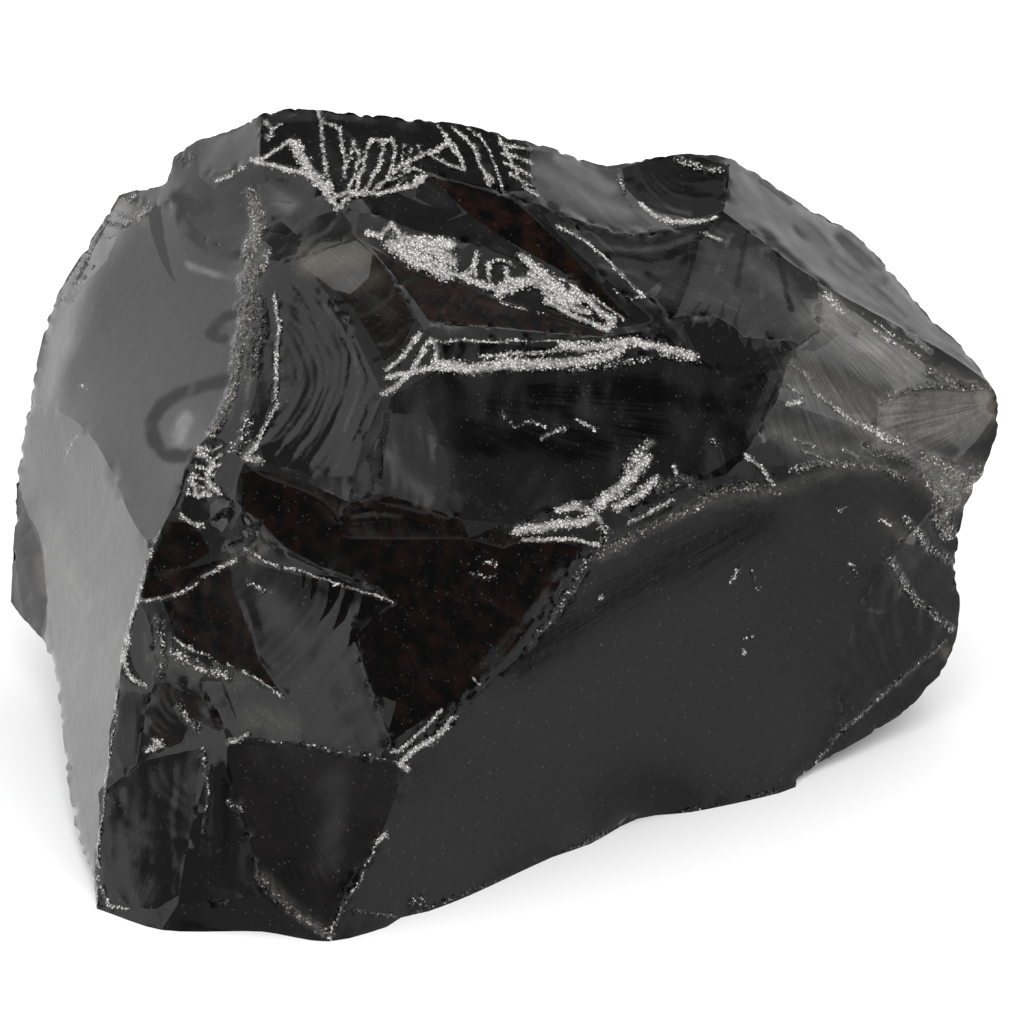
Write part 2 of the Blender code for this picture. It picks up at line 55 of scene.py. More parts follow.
# ----------------------------------------------------------------------------------------------------------
# The stone: one lump of black volcanic glass. Each face is a scar, the shallow shell that a flake left when
# it was struck off, and the scars meet in sharp ridges. Where a blow spent itself, the glass is crushed to
# white grit.
# ----------------------------------------------------------------------------------------------------------
MM = 0.001
LEAN = math.radians(30)  # scars are placed on a plane that faces the worked side and leans back this far
PLANE_MIDDLE = (0.1, -0.1)  # the middle of the stone's outline on that plane, in millimetres
CREASE_STEP = 1.5  # degrees: creases that differ by less than this hold a scar's spread back equally
RIDGE_ANGLE = 5.0  # degrees: where two scars meet at less than this, the glass runs on smoothly
FACE_EDGE = 1.0  # the longest mesh edge on the worked side, in millimetres
CALM_EDGE = 2.2  # the same on the widest, smoothest scars
REAR_EDGE = 1.5  # the same on the rear and the base
GRIT_EDGE = 0.6  # the same where the glass is crushed, and along the edges of the small facets
CALM_SCARS = ("plain", "upper_wall", "lower_wall")  # the widest, smoothest scars
HALVINGS = 4  # how often the edges that are too long are cut in half
SMOOTHINGS = 26  # how often each scar's points are drawn towards their neighbours
OUTLINE_REACH = 0.28  # millimetres to each side of a small facet's outline that are cut fine
GRIT_MARGIN = 0.25  # the same beyond a stroke of crushed glass
SHARP_BEND = 1.5  # bends that reach less far than this are cut fine as well
TORN = 0.12  # how far the small facets' edges wander, in millimetres
TORN_LUMP = 0.8  # millimetres between one waver of those edges and the next
REAR_HOLLOWS = ((19.0, 1.1), (7.5, 0.22))  # how wide the small scars behind are, and how deep, in millimetres
FRONT_RIPPLE, REAR_RIPPLE = 0.5, 2.2  # against the ripple heights that the scars give
NICK_DEPTH, NICK_REACH = 0.75, 1.0  # the nicks along the ridges, in millimetres
CRUMBLE_DEPTH = 0.55  # how far the crushed edges break back, in millimetres
ROLLING, CALM_SHARE = 0.15, 0.1  # the slow roll of the scars in millimetres, and the calm scars' share of it

# Each scar: a spot inside it, where the blow fell, the spacing and height of its ripples in millimetres
FRONT_SCARS = {
    "upper_wall": ((-46.9, 24.1), (-60.6, 6.6), 6.5, 0.030),
    "wall_tip": ((-49.6, 36.0), (-44.4, 40.4), 3.0, 0.020),
    "notch": ((-41.6, 41.2), (-38.1, 43.9), 2.0, 0.030),
    "shoulder_cap": ((-35.0, 39.8), (-36.2, 46.6), 2.6, 0.045),
    "flank": ((-35.0, 46.6), (-30.4, 50.4), 2.6, 0.040),
    "cup": ((-27.5, 41.0), (-30.4, 44.8), 2.2, 0.040),
    "top_band": ((-13.1, 46.6), (-4.4, 54.1), 3.4, 0.100),
    "saddle": ((9.4, 41.6), (24.4, 47.9), 3.2, 0.045),
    "scoop": ((21.9, 41.0), (24.4, 46.6), 2.2, 0.060),
    "saddle_corner": ((18.1, 31.6), (4.4, 39.1), 3.2, 0.030),
    "hollow": ((30.6, 31.6), (23.1, 40.4), 3.0, 0.050),
    "apron": ((28.8, 21.4), (23.1, 40.4), 2.6, 0.030),
    "right_shoulder": ((43.1, 31.6), (24.4, 49.1), 3.6, 0.060),
    "right_slope": ((43.1, 15.4), (26.9, 37.9), 4.0, 0.045),
    "end_cap": ((53.8, 12.9), (63.1, 15.4), 2.6, 0.040),
    "chip_upper": ((33.6, 7.1), (31.9, 10.4), 2.0, 0.020),
    "chip_lower": ((30.1, 5.9), (29.4, 8.5), 2.0, 0.020),
    "crushed_end": ((56.2, 4.8), (60.6, 7.9), 2.0, 0.050),
    "pit": ((53.8, -1.5), (56.9, 0.4), 2.2, 0.050),
    "pit_lower": ((52.5, -8.4), (56.9, -4.6), 2.2, 0.050),
    "corner": ((49.4, -17.1), (56.9, -10.9), 3.0, 0.060),
    "plain": ((18.1, -15.9), (49.4, 10.4), 9.0, 0.012),
    "bevel": ((-8.6, -25.9), (9.4, -3.4), 3.0, 0.020),
    "bowl": ((-6.9, -12.1), (-21.9, 2.9), 4.5, 0.035),
    "nook": ((-1.9, -0.9), (1.2, 1.0), 2.0, 0.030),
    "nook_right": ((6.2, -0.6), (11.9, 0.4), 2.2, 0.060),
    "crushed_step": ((18.8, 1.4), (24.4, 5.4), 2.0, 0.050),
    "fin": ((-30.4, -3.4), (-33.8, 2.9), 2.6, 0.030),
    "lower_bowl": ((-21.9, -17.1), (-33.8, -4.6), 3.4, 0.060),
    "lap": ((-35.6, -10.9), (-36.2, -4.0), 2.8, 0.040),
    "dark_scar": ((-41.2, -4.6), (-39.4, 1.0), 2.6, 0.040),
    "channel": ((-36.9, 5.4), (-36.2, 11.6), 2.2, 0.060),
    "ring": ((-36.2, 0.4), (-36.2, 2.9), 2.0, 0.030),
    "ring_top": ((-33.6, 3.9), (-33.1, 5.4), 2.0, 0.030),
    "tooth": ((-39.4, -17.8), (-41.9, -9.6), 2.4, 0.050),
    "slot": ((-45.0, -14.6), (-43.1, -9.6), 2.4, 0.040),
    "heel": ((-47.5, -26.5), (-45.6, -20.9), 2.4, 0.040),
    "den": ((-41.2, -24.0), (-38.1, -19.6), 2.0, 0.060),
    "den_right": ((-35.4, -22.8), (-36.2, -19.6), 2.0, 0.030),
    "gusset": ((-30.0, -24.0), (-25.6, -27.1), 2.4, 0.030),
    "knee_left": ((-43.8, -37.1), (-36.9, -29.6), 4.0, 0.040),
    "knee": ((-36.2, -38.4), (-36.2, -29.0), 3.4, 0.030),
    "toe": ((-23.1, -38.4), (-33.1, -27.1), 5.0, 0.020),
    "sole": ((-38.1, -49.0), (-38.1, -45.2), 2.4, 0.050),
    "lower_wall": ((-51.9, -9.6), (-63.1, 5.4), 5.0, 0.040),
    "flap": ((-60.0, -5.9), (-61.2, 2.2), 2.6, 0.050),
    "strip": ((-30.4, 21.6), (-32.5, 27.9), 2.6, 0.040),
    "lens": ((-23.1, 17.9), (-35.0, 17.2), 2.3, 0.075),
    "skirt": ((-27.1, 5.9), (-30.6, 7.9), 2.0, 0.030),
    "beige": ((-18.1, 26.6), (-25.6, 37.2), 2.0, 0.050),
    "grey_patch": ((-25.0, 35.6), (-30.4, 37.2), 2.4, 0.050),
    "grit_upper": ((-8.1, 38.5), (-18.1, 41.0), 2.4, 0.030),
    "grit_lower": ((-9.4, 34.1), (-18.1, 38.5), 2.0, 0.060),
    "rift": ((6.9, 34.8), (-9.4, 44.1), 3.0, 0.030),
    "rail": ((10.4, 33.9), (4.4, 40.4), 2.6, 0.030),
    "groove": ((-6.9, 27.2), (-15.6, 34.1), 2.8, 0.040),
    "groove_lower": ((-0.6, 23.5), (-10.6, 25.4), 2.0, 0.030),
    "shelf": ((-0.6, 21.0), (-10.6, 22.9), 2.0, 0.050),
    "panel": ((11.9, 11.6), (-15.6, 16.6), 5.0, 0.030),
}
REAR_SCARS = {
    "base": ((-6.9, -32.1), (-6.9, -72.1), 7.0, 0.0),
    "under_right": ((49.4, -19.0), (56.9, -12.1), 3.4, 0.050),
    "under_left": ((-53.1, -29.6), (-60.6, -10.9), 3.4, 0.050),
    "rear_left": ((-44.4, 9.1), (-60.6, 27.9), 5.0, 0.070),
    "rear_low": ((-0.6, 0.4), (11.9, -22.1), 4.6, 0.060),
    "rear_back": ((-6.9, 22.9), (-25.6, 42.9), 6.0, 0.080),
    "rear_right": ((33.1, 9.1), (49.4, 27.9), 5.0, 0.070),
    "rear_end": ((51.2, 6.6), (60.6, 15.4), 4.0, 0.060),
    "top_left": ((-40.6, 40.4), (-50.6, 34.1), 3.6, 0.050),
    "top_back": ((-6.9, 40.4), (-25.6, 51.6), 4.6, 0.060),
    "top_right": ((30.6, 36.6), (29.4, 45.4), 4.2, 0.060),
    "top_end": ((49.4, 26.0), (56.9, 21.6), 3.0, 0.040),
}

# How much light a facet throws towards the front, from the blackest glass to the brightest
SHADES = {
    "black": 0.005, "inky": 0.010, "dark": 0.017, "coal": 0.028, "slate": 0.043,
    "grey": 0.062, "ash": 0.09, "pale": 0.14, "bright": 0.24,
}
BEND_SHADES = {"darker": 0.5, "lighter": 1.9}  # against the glass beside the bend
EVEN_CURVE, LOOSE_CURVE = 0.9, 0.4  # how much of its scar's curve a facet loses

# Small facets, too shallow to carve: how light each one is, and its outline in millimetres
FACETS = {
    "top_band_all": ("dark", [
        (-30.4, 50.6), (-20.6, 51.4), (-4.4, 49.4), (3.1, 46.9), (3.9, 41.4), (0.0, 41.1), (-4.4, 42.1),
        (-9.4, 43.6), (-13.1, 41.6), (-20.6, 39.6), (-25.6, 43.9), (-31.1, 44.9)
    ]),
    "shoulder_wedge": ("ash", [
        (-44.6, 39.1), (-42.9, 39.6), (-42.4, 35.4), (-41.1, 29.8), (-42.8, 32.6), (-44.0, 36.0)
    ]),
    "patch_dark": ("coal", [
        (-30.2, 36.4), (-27.6, 37.4), (-25.2, 35.0), (-26.0, 33.4), (-28.1, 32.5), (-29.4, 32.6),
        (-28.8, 34.1), (-30.4, 35.4)
    ]),
    "patch_grey": ("slate", [
        (-25.2, 37.4), (-20.4, 38.9), (-18.9, 36.6), (-18.6, 35.0), (-22.9, 34.8), (-25.6, 32.6),
        (-27.6, 32.1), (-26.0, 33.4), (-25.2, 35.0), (-26.1, 36.1)
    ]),
    "strip_dark": ("slate", [
        (-30.4, 22.2), (-28.6, 22.6), (-28.5, 15.4), (-30.1, 10.4), (-31.9, 8.9), (-33.4, 8.5),
        (-30.9, 16.0)
    ]),
    "lens_all": ("grey", [
        (-28.1, 31.4), (-24.9, 29.6), (-21.6, 27.2), (-15.2, 15.1), (-16.4, 11.9), (-19.4, 7.6),
        (-21.9, 6.6), (-25.6, 7.6), (-29.1, 9.1), (-29.9, 10.1), (-28.4, 13.5)
    ]),
    "lens_foot": ("slate", [
        (-30.4, 9.5), (-27.5, 10.4), (-25.6, 7.6), (-21.9, 6.6), (-20.4, 5.6), (-19.9, 2.9), (-25.6, 5.9),
        (-29.4, 6.9)
    ]),
    "skirt_dark": ("dark", [
        (-28.4, 6.6), (-25.6, 5.9), (-19.9, 2.6), (-20.9, 2.0), (-24.4, 3.4), (-27.4, 4.9)
    ]),
    "beige_high": ("ash", [
        (-25.4, 32.1), (-21.6, 34.1), (-18.4, 35.0), (-16.4, 33.4), (-16.9, 30.4), (-19.1, 28.4),
        (-21.2, 28.9)
    ]),
    "beige_low": ("inky", [
        (-21.2, 28.9), (-19.1, 28.4), (-16.9, 30.4), (-16.4, 33.4), (-14.1, 30.4), (-11.2, 25.1),
        (-12.6, 22.2), (-14.9, 20.1), (-18.6, 26.4)
    ]),
    "band_low_dark": ("dark", [
        (-17.8, 40.4), (-13.8, 41.2), (-10.4, 39.6), (-5.4, 38.4), (-7.4, 37.4), (-11.6, 37.1),
        (-16.1, 38.1)
    ]),
    "band_low_grey": ("dark", [
        (-10.9, 42.1), (-9.4, 43.0), (-6.6, 40.6), (-5.2, 38.4), (-8.1, 38.9), (-11.1, 40.4)
    ]),
    "band_low_mid": ("dark", [
        (-16.1, 38.1), (-11.6, 37.1), (-7.4, 37.4), (-4.4, 38.4), (5.4, 31.4), (-6.9, 35.4),
        (-11.2, 36.4)
    ]),
    "rift_floor": ("black", [
        (-9.4, 43.1), (-4.4, 41.9), (0.9, 40.2), (6.9, 34.8), (11.9, 29.1), (16.1, 24.9), (11.9, 27.4),
        (6.9, 31.4), (-1.9, 36.4), (-5.2, 38.9), (-7.4, 41.4)
    ]),
    "rail_face": ("coal", [
        (0.9, 40.8), (4.4, 39.4), (10.6, 35.9), (16.9, 30.4), (20.4, 24.8), (24.0, 20.2), (20.0, 23.4),
        (16.9, 24.9), (11.9, 29.4), (6.9, 34.8)
    ]),
    "groove_floor": ("black", [
        (-16.6, 34.1), (-13.1, 32.4), (-0.6, 27.6), (12.9, 23.9), (11.9, 23.1), (-9.4, 25.1),
        (-11.2, 27.6)
    ]),
    "groove_edge": ("slate", [(-9.4, 24.9), (13.4, 23.0), (6.9, 22.6), (-9.1, 22.6)]),
    "shelf_dark": ("inky", [
        (-7.9, 22.4), (-0.6, 22.2), (7.6, 21.6), (6.9, 20.9), (-0.6, 21.1), (-7.4, 20.1)
    ]),
    "panel_main": ("dark", [
        (-8.6, 18.9), (6.9, 18.9), (16.9, 21.4), (24.0, 19.9), (26.9, 18.1), (31.9, 19.1), (34.6, 19.1),
        (33.8, 15.4), (30.0, 9.1), (24.4, 5.6), (18.8, 2.9), (6.9, 2.9), (1.9, 0.9), (-4.4, 2.6),
        (-7.5, 4.1), (-8.6, 6.6), (-8.1, 10.4), (-9.4, 13.4), (-14.6, 13.6), (-14.1, 15.6)
    ]),
    "panel_foot": ("ash", [(-19.1, 2.9), (-18.1, 6.6), (-15.1, 11.6), (-15.1, 3.9), (-17.1, 3.1)]),
    "nook_dark": ("black", [
        (-19.1, 2.5), (-15.1, 3.6), (-9.4, 1.9), (-5.4, 0.4), (-4.4, -1.9), (-0.2, -0.1), (0.9, -1.1),
        (6.9, -1.9), (9.4, -3.1), (6.9, -8.4), (3.1, -13.4), (-4.4, -20.9), (-10.6, -24.6),
        (-15.0, -27.8), (-13.4, -22.1), (-16.6, -20.9), (-16.2, -17.1), (-17.5, -14.6), (-16.6, -9.6),
        (-13.8, -9.9), (-15.6, -7.8), (-21.9, -6.5), (-26.9, -4.0), (-30.4, -1.5), (-32.5, 1.4),
        (-33.1, 6.0), (-30.4, 6.6), (-25.6, 5.4)
    ]),
    "bevel_face": ("grey", [
        (11.5, -4.2), (8.8, -8.4), (5.0, -13.4), (-3.1, -21.1), (-1.6, -18.6), (1.9, -14.6), (5.6, -9.6),
        (8.4, -4.6)
    ]),
    "bevel_foot": ("coal", [
        (-3.1, -21.4), (-8.1, -26.5), (-12.6, -30.2), (-14.1, -28.6), (-10.6, -24.9), (-6.9, -22.1),
        (-4.4, -19.6)
    ]),
    "fin_left": ("pale", [(-32.5, 1.6), (-30.4, 0.4), (-28.8, -4.6), (-33.1, -4.0), (-35.4, -3.4)]),
    "fin_right": ("slate", [
        (-30.4, 0.4), (-27.5, -2.8), (-23.1, -5.2), (-15.6, -7.9), (-13.6, -9.9), (-20.6, -8.6),
        (-26.9, -6.5), (-30.6, -4.4)
    ]),
    "tooth_shadow": ("black", [
        (-25.9, -6.0), (-20.6, -6.8), (-13.4, -10.1), (-12.6, -14.6), (-14.6, -20.9), (-15.9, -22.6),
        (-17.6, -19.6), (-19.4, -17.1), (-20.6, -14.6), (-23.4, -13.1), (-25.9, -9.6)
    ]),
    "sweep": ("slate", [
        (-34.1, -4.6), (-30.4, -4.9), (-27.9, -5.4), (-27.6, -6.5), (-27.2, -5.5), (-25.1, -6.1),
        (-25.0, -8.4), (-24.6, -6.2), (-23.9, -6.5), (-24.1, -9.6), (-23.4, -8.6), (-23.0, -6.6),
        (-21.8, -7.1), (-22.1, -10.2), (-23.1, -12.4), (-21.8, -11.1), (-20.6, -9.1), (-20.2, -7.5),
        (-19.8, -8.4), (-21.2, -13.1), (-19.9, -12.1), (-18.4, -8.4), (-17.6, -8.6), (-18.1, -11.1),
        (-19.1, -13.4), (-19.4, -15.6), (-18.6, -14.6), (-17.9, -16.1), (-18.4, -17.4), (-17.4, -17.1),
        (-16.8, -18.6), (-17.4, -19.4), (-16.4, -20.1), (-15.9, -22.1), (-16.8, -22.6), (-15.6, -23.6),
        (-14.1, -25.9), (-14.9, -26.9), (-13.9, -29.1), (-19.4, -29.4), (-25.0, -27.1), (-25.6, -22.1),
        (-30.4, -17.1), (-31.9, -12.1), (-33.8, -8.4)
    ]),
    "gusset_face": ("pale", [
        (-35.9, -19.6), (-30.4, -19.6), (-27.5, -21.1), (-25.4, -23.1), (-25.1, -27.1), (-32.4, -26.5),
        (-34.1, -22.8)
    ]),
    "gusset_side": ("grey", [(-38.1, -19.6), (-35.9, -19.6), (-32.4, -25.9), (-33.6, -26.5)]),
    "lap_dark": ("inky", [
        (-42.5, -9.4), (-38.1, -7.4), (-34.1, -4.9), (-33.6, -8.6), (-31.6, -12.8), (-30.4, -17.1),
        (-27.9, -20.9), (-32.5, -18.6), (-37.5, -16.5), (-40.6, -14.6)
    ]),
    "dark_high": ("black", [
        (-41.6, 0.1), (-39.4, 0.1), (-37.5, -1.5), (-36.6, -3.6), (-39.4, -5.4), (-41.6, -5.9),
        (-44.4, -4.6)
    ]),
    "dark_low": ("black", [
        (-44.4, -4.6), (-41.6, -5.9), (-38.1, -5.4), (-33.8, -4.1), (-40.6, -8.6), (-44.9, -9.4)
    ]),
    "channel_mid": ("slate", [
        (-36.2, 11.0), (-32.5, 8.5), (-32.9, 6.6), (-34.1, 3.5), (-36.9, 0.4), (-39.4, -0.2),
        (-40.4, 2.9), (-39.9, 6.0), (-38.6, 8.9)
    ]),
    "ring_face": ("ash", [
        (-36.6, 2.2), (-35.4, 3.1), (-33.4, 2.9), (-33.1, 1.0), (-35.0, -1.1), (-36.4, -0.2)
    ]),
    "ring_side": ("coal", [
        (-33.1, 6.6), (-32.4, 5.6), (-32.6, 1.6), (-35.4, -3.4), (-36.4, -4.1), (-35.9, -2.1),
        (-33.4, 1.0)
    ]),
    "slot_face": ("grey", [
        (-45.1, -9.9), (-44.1, -14.6), (-43.6, -18.4), (-44.4, -20.1), (-45.9, -18.6), (-46.6, -15.9),
        (-46.0, -12.4)
    ]),
    "slot_edge": ("coal", [(-46.9, -14.6), (-46.1, -17.8), (-44.4, -20.1), (-46.1, -20.1), (-47.6, -18.6)]),
    "heel_face": ("slate", [
        (-46.9, -20.9), (-44.4, -21.1), (-43.9, -24.6), (-44.4, -29.0), (-46.9, -31.4), (-48.4, -27.8),
        (-48.4, -23.6)
    ]),
    "heel_edge": ("coal", [
        (-47.9, -20.9), (-46.9, -20.9), (-48.4, -23.6), (-48.4, -27.8), (-47.1, -31.1), (-49.1, -30.9),
        (-49.1, -25.9)
    ]),
    "den_dark": ("dark", [
        (-44.4, -20.9), (-41.2, -19.9), (-38.1, -20.9), (-33.8, -26.9), (-38.8, -24.0), (-40.0, -27.1),
        (-43.1, -28.6), (-44.1, -26.5)
    ]),
    "rough_band": ("slate", [
        (-42.5, -14.6), (-40.6, -14.6), (-37.5, -16.5), (-32.5, -18.6), (-26.9, -21.6), (-30.4, -19.6),
        (-38.1, -19.6), (-40.0, -20.9), (-41.9, -19.6)
    ]),
    "apron_face": ("dark", [
        (23.1, 19.9), (22.1, 24.1), (22.4, 25.9), (24.9, 28.1), (29.4, 28.4), (35.6, 27.9), (39.6, 25.9),
        (39.8, 21.6), (35.9, 21.1), (34.9, 19.1), (29.4, 18.1), (26.2, 18.1)
    ]),
    "hollow_fan": ("grey", [
        (27.1, 37.6), (30.0, 36.9), (33.8, 34.6), (37.1, 32.1), (38.9, 28.9), (39.5, 23.9), (35.9, 21.4),
        (34.4, 23.1), (34.1, 21.4), (32.5, 24.1), (32.1, 22.1), (30.9, 21.4), (30.4, 23.6), (29.9, 21.9),
        (29.1, 22.9), (28.8, 25.1), (29.6, 27.9), (27.8, 23.9), (27.1, 25.6), (27.4, 27.9), (26.4, 25.6),
        (25.4, 24.1), (24.9, 25.6), (25.8, 27.6), (23.1, 24.1), (23.6, 26.1), (24.8, 28.1), (21.9, 25.1),
        (24.4, 33.9)
    ]),
    "scoop_floor": ("coal", [
        (14.6, 44.1), (19.4, 45.8), (24.4, 45.5), (27.4, 44.6), (27.9, 41.0), (27.1, 38.6), (23.1, 37.8),
        (19.6, 38.5), (17.0, 39.6), (15.0, 41.6)
    ]),
    "scoop_side": ("coal", [(26.2, 44.4), (27.9, 44.6), (28.1, 40.6), (26.4, 39.6)]),
    "saddle_face": ("ash", [
        (3.1, 46.4), (6.9, 45.9), (11.9, 43.9), (14.1, 43.6), (14.6, 41.1), (16.1, 38.9), (18.4, 36.9),
        (15.6, 36.1), (11.9, 36.9), (5.0, 39.9), (3.4, 42.1)
    ]),
    "saddle_streaks": ("coal", [
        (6.9, 38.4), (11.9, 36.6), (15.6, 35.9), (24.9, 37.1), (26.4, 38.1), (24.1, 34.6), (22.9, 29.8),
        (20.9, 25.1), (17.5, 29.6), (11.9, 35.4)
    ]),
    "slope_main": ("pale", [
        (38.9, 28.9), (44.4, 25.6), (49.4, 22.2), (53.1, 18.9), (50.0, 16.4), (46.9, 16.0), (50.0, 10.4),
        (44.4, 7.6), (36.9, 7.1), (30.9, 7.6), (30.0, 8.9), (33.8, 15.4), (35.6, 21.4), (39.4, 23.9)
    ]),
    "slope_low": ("grey", [(33.8, 15.4), (50.0, 9.6), (44.4, 7.4), (36.9, 7.1), (30.9, 7.6), (30.0, 8.9)]),
    "end_cap_face": ("pale", [
        (46.9, 15.4), (51.9, 16.4), (60.6, 16.4), (61.9, 14.8), (58.8, 10.4), (56.2, 7.6), (52.5, 8.9),
        (50.0, 10.1)
    ]),
    "pit_dark": ("slate", [
        (48.1, 0.4), (56.9, 1.4), (57.1, -4.6), (56.2, -8.4), (52.5, -10.9), (50.0, -7.8), (47.9, -3.4)
    ]),
    "chip_high": ("grey", [(30.0, 8.9), (33.1, 10.4), (35.0, 8.5), (35.6, 7.1), (32.5, 7.1)]),
    "chip_low": ("ash", [(29.1, 7.6), (30.9, 8.1), (33.8, 4.1), (30.4, 4.4), (29.4, 6.0)]),
    "knee_left_face": ("coal", [
        (-49.4, -31.5), (-46.9, -31.4), (-44.4, -29.4), (-37.5, -27.8), (-37.5, -34.6), (-38.1, -44.6),
        (-43.1, -47.8), (-50.4, -47.5), (-50.6, -40.9)
    ]),
    "knee_face": ("dark", [
        (-37.5, -27.8), (-33.6, -27.4), (-33.1, -34.6), (-30.4, -43.4), (-27.6, -47.8), (-33.1, -47.8),
        (-38.1, -45.2), (-37.5, -34.6)
    ]),
    "toe_face": ("dark", [
        (-33.4, -27.6), (-25.6, -27.4), (-13.4, -29.9), (-15.2, -38.4), (-21.8, -51.1), (-27.6, -47.8),
        (-30.4, -43.4), (-32.9, -34.6)
    ]),
    "flap_face": ("pale", [
        (-61.2, 5.4), (-58.1, -3.4), (-57.1, -9.6), (-58.1, -14.6), (-60.4, -10.9), (-61.6, -3.4)
    ]),
    "wall_bar": ("bright", [(-55.6, 27.9), (-50.6, 35.4), (-48.4, 35.9), (-49.6, 32.9), (-55.4, 26.6)]),
    "flank_face": ("pale", [
        (-38.1, 47.6), (-30.4, 50.6), (-30.4, 44.8), (-33.8, 44.1), (-36.2, 41.6), (-38.1, 43.1)
    ]),
    "saddle_light": ("slate", [
        (12.5, 33.4), (16.9, 32.6), (20.4, 32.6), (23.1, 33.9), (22.9, 31.4), (20.9, 27.9), (18.8, 27.9),
        (14.1, 32.4)
    ]),
    "saddle_chip": ("ash", [(17.4, 28.4), (19.6, 30.4), (19.4, 29.1), (18.4, 27.9)]),
    "strip_light": ("grey", [
        (-29.6, 30.1), (-28.8, 30.4), (-28.5, 27.9), (-28.6, 22.9), (-29.6, 22.2), (-30.4, 24.1),
        (-30.1, 27.9)
    ]),
    "knee_black": ("dark", [
        (-37.5, -27.9), (-36.4, -27.9), (-36.1, -30.9), (-37.2, -34.6), (-38.4, -44.9), (-39.1, -44.6),
        (-38.4, -34.6)
    ]),
    "knee_edge": ("slate", [
        (-50.4, -33.4), (-49.4, -32.1), (-49.9, -38.4), (-49.4, -43.1), (-47.9, -45.9), (-46.4, -47.8),
        (-48.4, -47.8), (-50.1, -44.6)
    ]),
    "slope_dark": ("ash", [
        (36.9, 27.9), (39.1, 27.9), (40.6, 25.6), (41.6, 23.5), (40.1, 22.2), (38.4, 21.4), (36.6, 21.4),
        (39.4, 23.9)
    ]),
    "shoulder_chip": ("bright", [(38.8, 38.4), (41.2, 37.6), (42.6, 32.6), (41.6, 31.9), (39.9, 34.6)]),
    "end_crack": ("ash", [
        (49.4, 16.9), (53.1, 16.4), (60.4, 17.1), (60.0, 16.5), (53.1, 15.6), (50.0, 16.4)
    ]),
    "end_light": ("pale", [
        (48.1, 18.9), (52.5, 19.1), (55.6, 18.1), (59.4, 17.6), (53.1, 16.9), (48.8, 16.1)
    ]),
    "crush_dark_one": ("inky", [(16.9, 0.4), (20.9, 2.2), (20.4, 1.4), (18.1, 0.1)]),
    "crush_dark_two": ("grey", [(47.4, -0.2), (50.0, 1.0), (51.9, -0.9), (50.9, -2.8), (48.8, -2.1)]),
    "toe_fold": ("coal", [(-21.8, -51.1), (-20.0, -45.9), (-15.2, -38.6), (-20.6, -50.2)]),
}
# The facets whose glass is even all over; the rest keep some of their scar's curve
EVEN_FACETS = (
    "skirt_dark", "beige_high", "beige_low", "band_low_dark", "band_low_mid", "rift_floor",
    "groove_floor", "panel_main", "nook_dark", "bevel_face", "fin_left", "fin_right",
    "tooth_shadow", "gusset_face", "gusset_side", "lap_dark", "dark_high", "dark_low", "slot_edge",
    "heel_edge",
)
# How brown or beige the thin glass of some facets looks
BROWN_FACETS = {
    "beige_low": 0.3, "rift_floor": 0.75, "groove_floor": 0.9, "nook_dark": 0.45, "tooth_shadow":
    0.2, "lap_dark": 0.55, "dark_high": 0.4, "dark_low": 0.5, "den_dark": 0.3, "toe_face": 0.15,
}
BEIGE_FACETS = {"beige_high": 0.12, "beige_low": 0.05}

